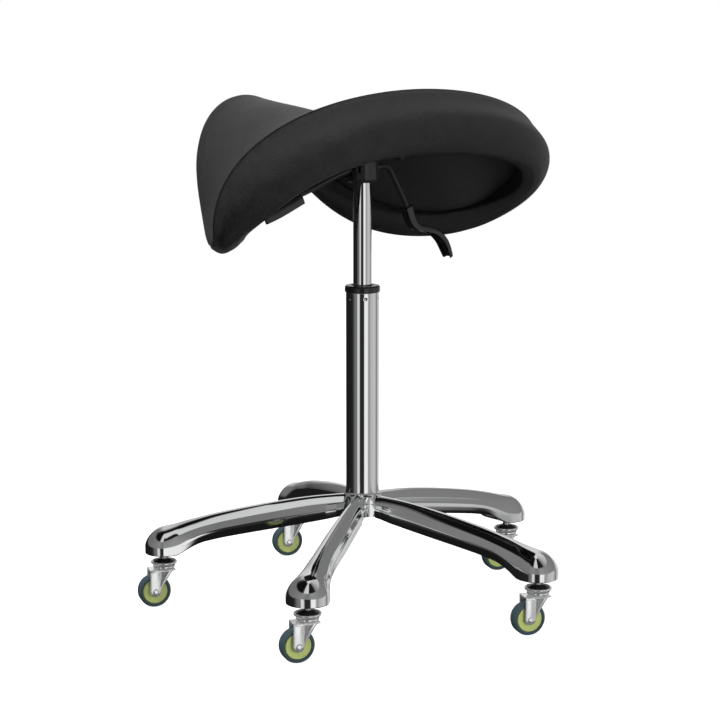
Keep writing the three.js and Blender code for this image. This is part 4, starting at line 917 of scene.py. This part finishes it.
# ------------------------------------------------
# Castors: a zinc-plated pressed steel fork with a round cup, in which the stem's collar turns
# under a black domed seal, and a moulded green wheel with a grey rubber tyre on a riveted axle.
# ------------------------------------------------
castor_turn = math.radians(198)
wheel_radius, fork_trail = 25, 16
leg_inside, leg_outside = 10.7, 13.0
eye_radius, rib_radius = 8, 6.9
crown_low, crown_high, race_low = 56.5, 58.8, 61
skirt_low, skirt_high, skirt_ease = 31, race_low - 4.5, 0.74
# the skirt's cone beside the axle: its middle, half-length and half-width, which run over into the cup's
cone_middle, cone_length, cone_width, cup_inside = 9, 4, 12.9, 16.9


def plate(outline, near, far, edge):
    """A flat plate between two y values: its outline in XZ carried across, with both faces' edges rounded."""
    outline = np.asarray(outline, float)
    ring = np.vstack([outline, outline[:1]])
    ahead = np.roll(outline, -1, 0)
    area = np.sum(outline[:, 0] * ahead[:, 1] - outline[:, 1] * ahead[:, 0])
    along = ahead - np.roll(outline, 1, 0)
    inward = np.stack([-along[:, 1], along[:, 0]], -1) / np.linalg.norm(along, axis=1)[:, None] * np.sign(area)
    inward = np.vstack([inward, inward[:1]])
    middle = np.repeat(outline.mean(0)[None], len(ring), 0)
    way = np.sign(far - near)
    turn = np.linspace(0, math.pi / 2, 5)
    rows = [(middle, near)]
    rows += [(ring + inward * edge * (1 - math.sin(a)), near + way * edge * (1 - math.cos(a))) for a in turn]
    rows += [(ring + inward * edge * (1 - math.cos(a)), far - way * edge * (1 - math.sin(a))) for a in turn]
    rows += [(middle, far)]
    return np.stack([np.stack([p[:, 0], np.full(len(p), y), p[:, 1]], -1) for p, y in rows])


def axle_eye(radius):
    """The lower half of a circle about the axle, in XZ."""
    return [fork_trail, wheel_radius] + radius * on_circle(np.linspace(math.pi, 2 * math.pi, 25))


def leg_outline():
    """One leg in XZ: round the axle, straight up in front, over the crown and down its slanting rear edge."""
    right = np.stack([np.full(12, fork_trail + eye_radius), np.linspace(wheel_radius + 2, crown_high, 12)], -1)
    edge = [[-11, 56], [-8.5, 53.5], [-3, 45], [3.6, 34.5], [fork_trail - 8.6, wheel_radius + 2.2]]
    left = through(np.arange(5), edge, np.linspace(0, 4, 20))
    top = [[4, crown_high], [-8, crown_high], [-12, crown_high - 0.6]]
    return np.vstack([axle_eye(eye_radius), right, top, left])


def rib_outline():
    """The rib pressed out of a leg, in XZ: a band with a round end about the axle."""
    up = np.linspace(wheel_radius + 2, crown_high - 3.2, 10)
    right = np.stack([np.full(10, fork_trail + rib_radius), up], -1)
    left = np.stack([np.full(10, fork_trail - rib_radius), up[::-1]], -1)
    return np.vstack([axle_eye(rib_radius), right, left])


def skirt_side(way):
    """One side of the skirt: between the flat leg and the cone that runs from the round cup down to the axle."""
    share = np.linspace(0, 1, 16)[:, None]
    eased = skirt_ease * share
    rx, ry = (low + (cup_inside - low) * eased for low in (cone_length, cone_width))
    start = np.arcsin(np.clip(leg_inside / ry, 0, 1))
    angle = start + (math.pi - 2 * start) * np.linspace(0, 1, 26)[None]
    z = skirt_low + (skirt_high - skirt_low) * share + 0 * angle
    arc = np.stack([cone_middle * (1 - eased) + rx * np.cos(angle), ry * np.sin(angle), z], -1)
    return capped(np.concatenate([arc, arc[:, :1]], 1)) * [1, way, 1]


def fork_grids():
    """The fork: its cup, its flat crown, and on each side a leg, the rib on it and the skirt."""
    cup = [
        [0, crown_low], [12, crown_low], [16.8, race_low], [16.6, 64.2], [17.7, 66.4], [20, 67.6], [20, 70], [19, 71],
        [17.8, 70.6], [15.9, 68.6], [15.5, race_low], [0, race_low],
    ]  # fmt: skip
    rear, front = -15.5, fork_trail + eye_radius
    crown = [[rear, crown_low], [front, crown_low], [front, crown_high], [rear, crown_high]]
    grids = [turned_piece(softened(cup, 1.0), 64), plate(crown, -leg_outside, leg_outside, 0.5)]
    for way in (-1, 1):
        grids.append(plate(leg_outline(), way * leg_inside, way * leg_outside, 0.7))
        grids.append(plate(rib_outline(), way * (leg_outside - 0.4), way * (leg_outside + 0.8), 0.6))
        grids.append(skirt_side(way))
    return grids


def across_axle(profile, sides):
    """A profile of (radius, distance across) turned about the wheel's axle."""
    grid = turned_piece(profile, sides)
    return np.stack([grid[..., 0] + fork_trail, grid[..., 2], grid[..., 1] + wheel_radius], -1)


def mirrored_profile(side, radius):
    """A profile given from the middle outwards on one side, rounded, and closed by its mirror image."""
    side = softened(side, radius)
    return np.vstack([(side * [1, -1])[::-1], side, (side * [1, -1])[-1:]])


wheel_side = [
    [19.0, 0], [19.0, 8.0], [18.2, 8.5], [17.0, 8.5], [16.4, 8.1], [8.2, 8.1], [6.6, 9.0], [6.2, 10.0], [3.35, 10.0],
]  # fmt: skip
tyre_side = [
    [25.0, 0], [25.0, 5.6], [24.2, 7.9], [22.4, 9.4], [20.6, 9.5], [20.0, 9.0], [19.3, 9.2], [19.3, 0.2],
]  # fmt: skip
axle_side = [[3.0, 0], [3.0, 13.9], [4.8, 13.9], [4.9, 14.9], [3.9, 16.2], [2.0, 16.5], [0, 16.5]]
wheel_profile = mirrored_profile(wheel_side, 0.6)
tyre_profile = mirrored_profile(tyre_side, 0.8)
axle_profile = mirrored_profile(axle_side, 0.5)[:-1]
stem_side = [
    [0, 61.3], [15.1, 61.3], [15.1, 66.6], [7.0, 68.2], [5.5, 69.2], [5.5, 113], [4.5, 114], [0, 114],
]  # fmt: skip
seal_side = [
    [5.8, 69.5], [15.2, 69.5], [15.5, 70.5], [13.2, 72.5], [9.5, 74.2], [5.8, 74.8], [5.8, 69.5],
]  # fmt: skip

zinc_grey, steel_grey = (0.9, 0.905, 0.91), (0.6, 0.61, 0.62)
wheel_green, tyre_grey = (0.36, 0.42, 0.138), (0.034, 0.057, 0.066)
zinc_plate = finish(
    "zinc_plate", zinc_grey, 0.16, 0.8, shade=0.06, spread=0.1, broad=40, fine=1400, bump=0.02, depth=0.0001
)
green_plastic = finish(
    "moulded_green_plastic", wheel_green, 0.36, shade=0.35, spread=0.12, broad=60, fine=1500, bump=0.06
)
grey_rubber = finish("grey_tyre_rubber", tyre_grey, 0.5, shade=0.4, spread=0.15, broad=80, fine=1900, bump=0.15)
steel_bright = finish(
    "bright_stem_steel", steel_grey, 0.3, 1, shade=0.2, spread=0.15, broad=60, fine=1500, bump=0.05, depth=0.0001
)
castor_shapes = [
    ("castor_fork", fork_grids(), "castor", "zinc_steel", zinc_plate, 36),
    ("castor_axle", [across_axle(axle_profile, 32)], "castor", "zinc_steel", zinc_plate, 40),
    ("castor_wheel", [across_axle(wheel_profile, 64)], "wheel", "wheel_plastic", green_plastic, 40),
    ("castor_tyre", [across_axle(tyre_profile, 72)], "wheel", "tyre_rubber", grey_rubber, 40),
    ("castor_stem", [turned_piece(softened(stem_side, 0.5), 32)], "base", "zinc_steel", steel_bright, 40),
    ("castor_seal", [turned_piece(softened(seal_side, 1.4), 48)], "base", "black_plastic", black_plastic, 40),
]
for i, turn in enumerate(arm_turns, 1):
    number = "_" + str(i)
    shift = [stem_circle * math.sin(turn), -stem_circle * math.cos(turn), 0]
    for name, grids, body, slot, material, sharp in castor_shapes:
        placed = [turned(grid, castor_turn) + shift for grid in grids]
        rides_on = body if body == "base" else body + number
        fit(piece(name + "_piece" + number, placed, sharp), rides_on, slot, material, name + number)
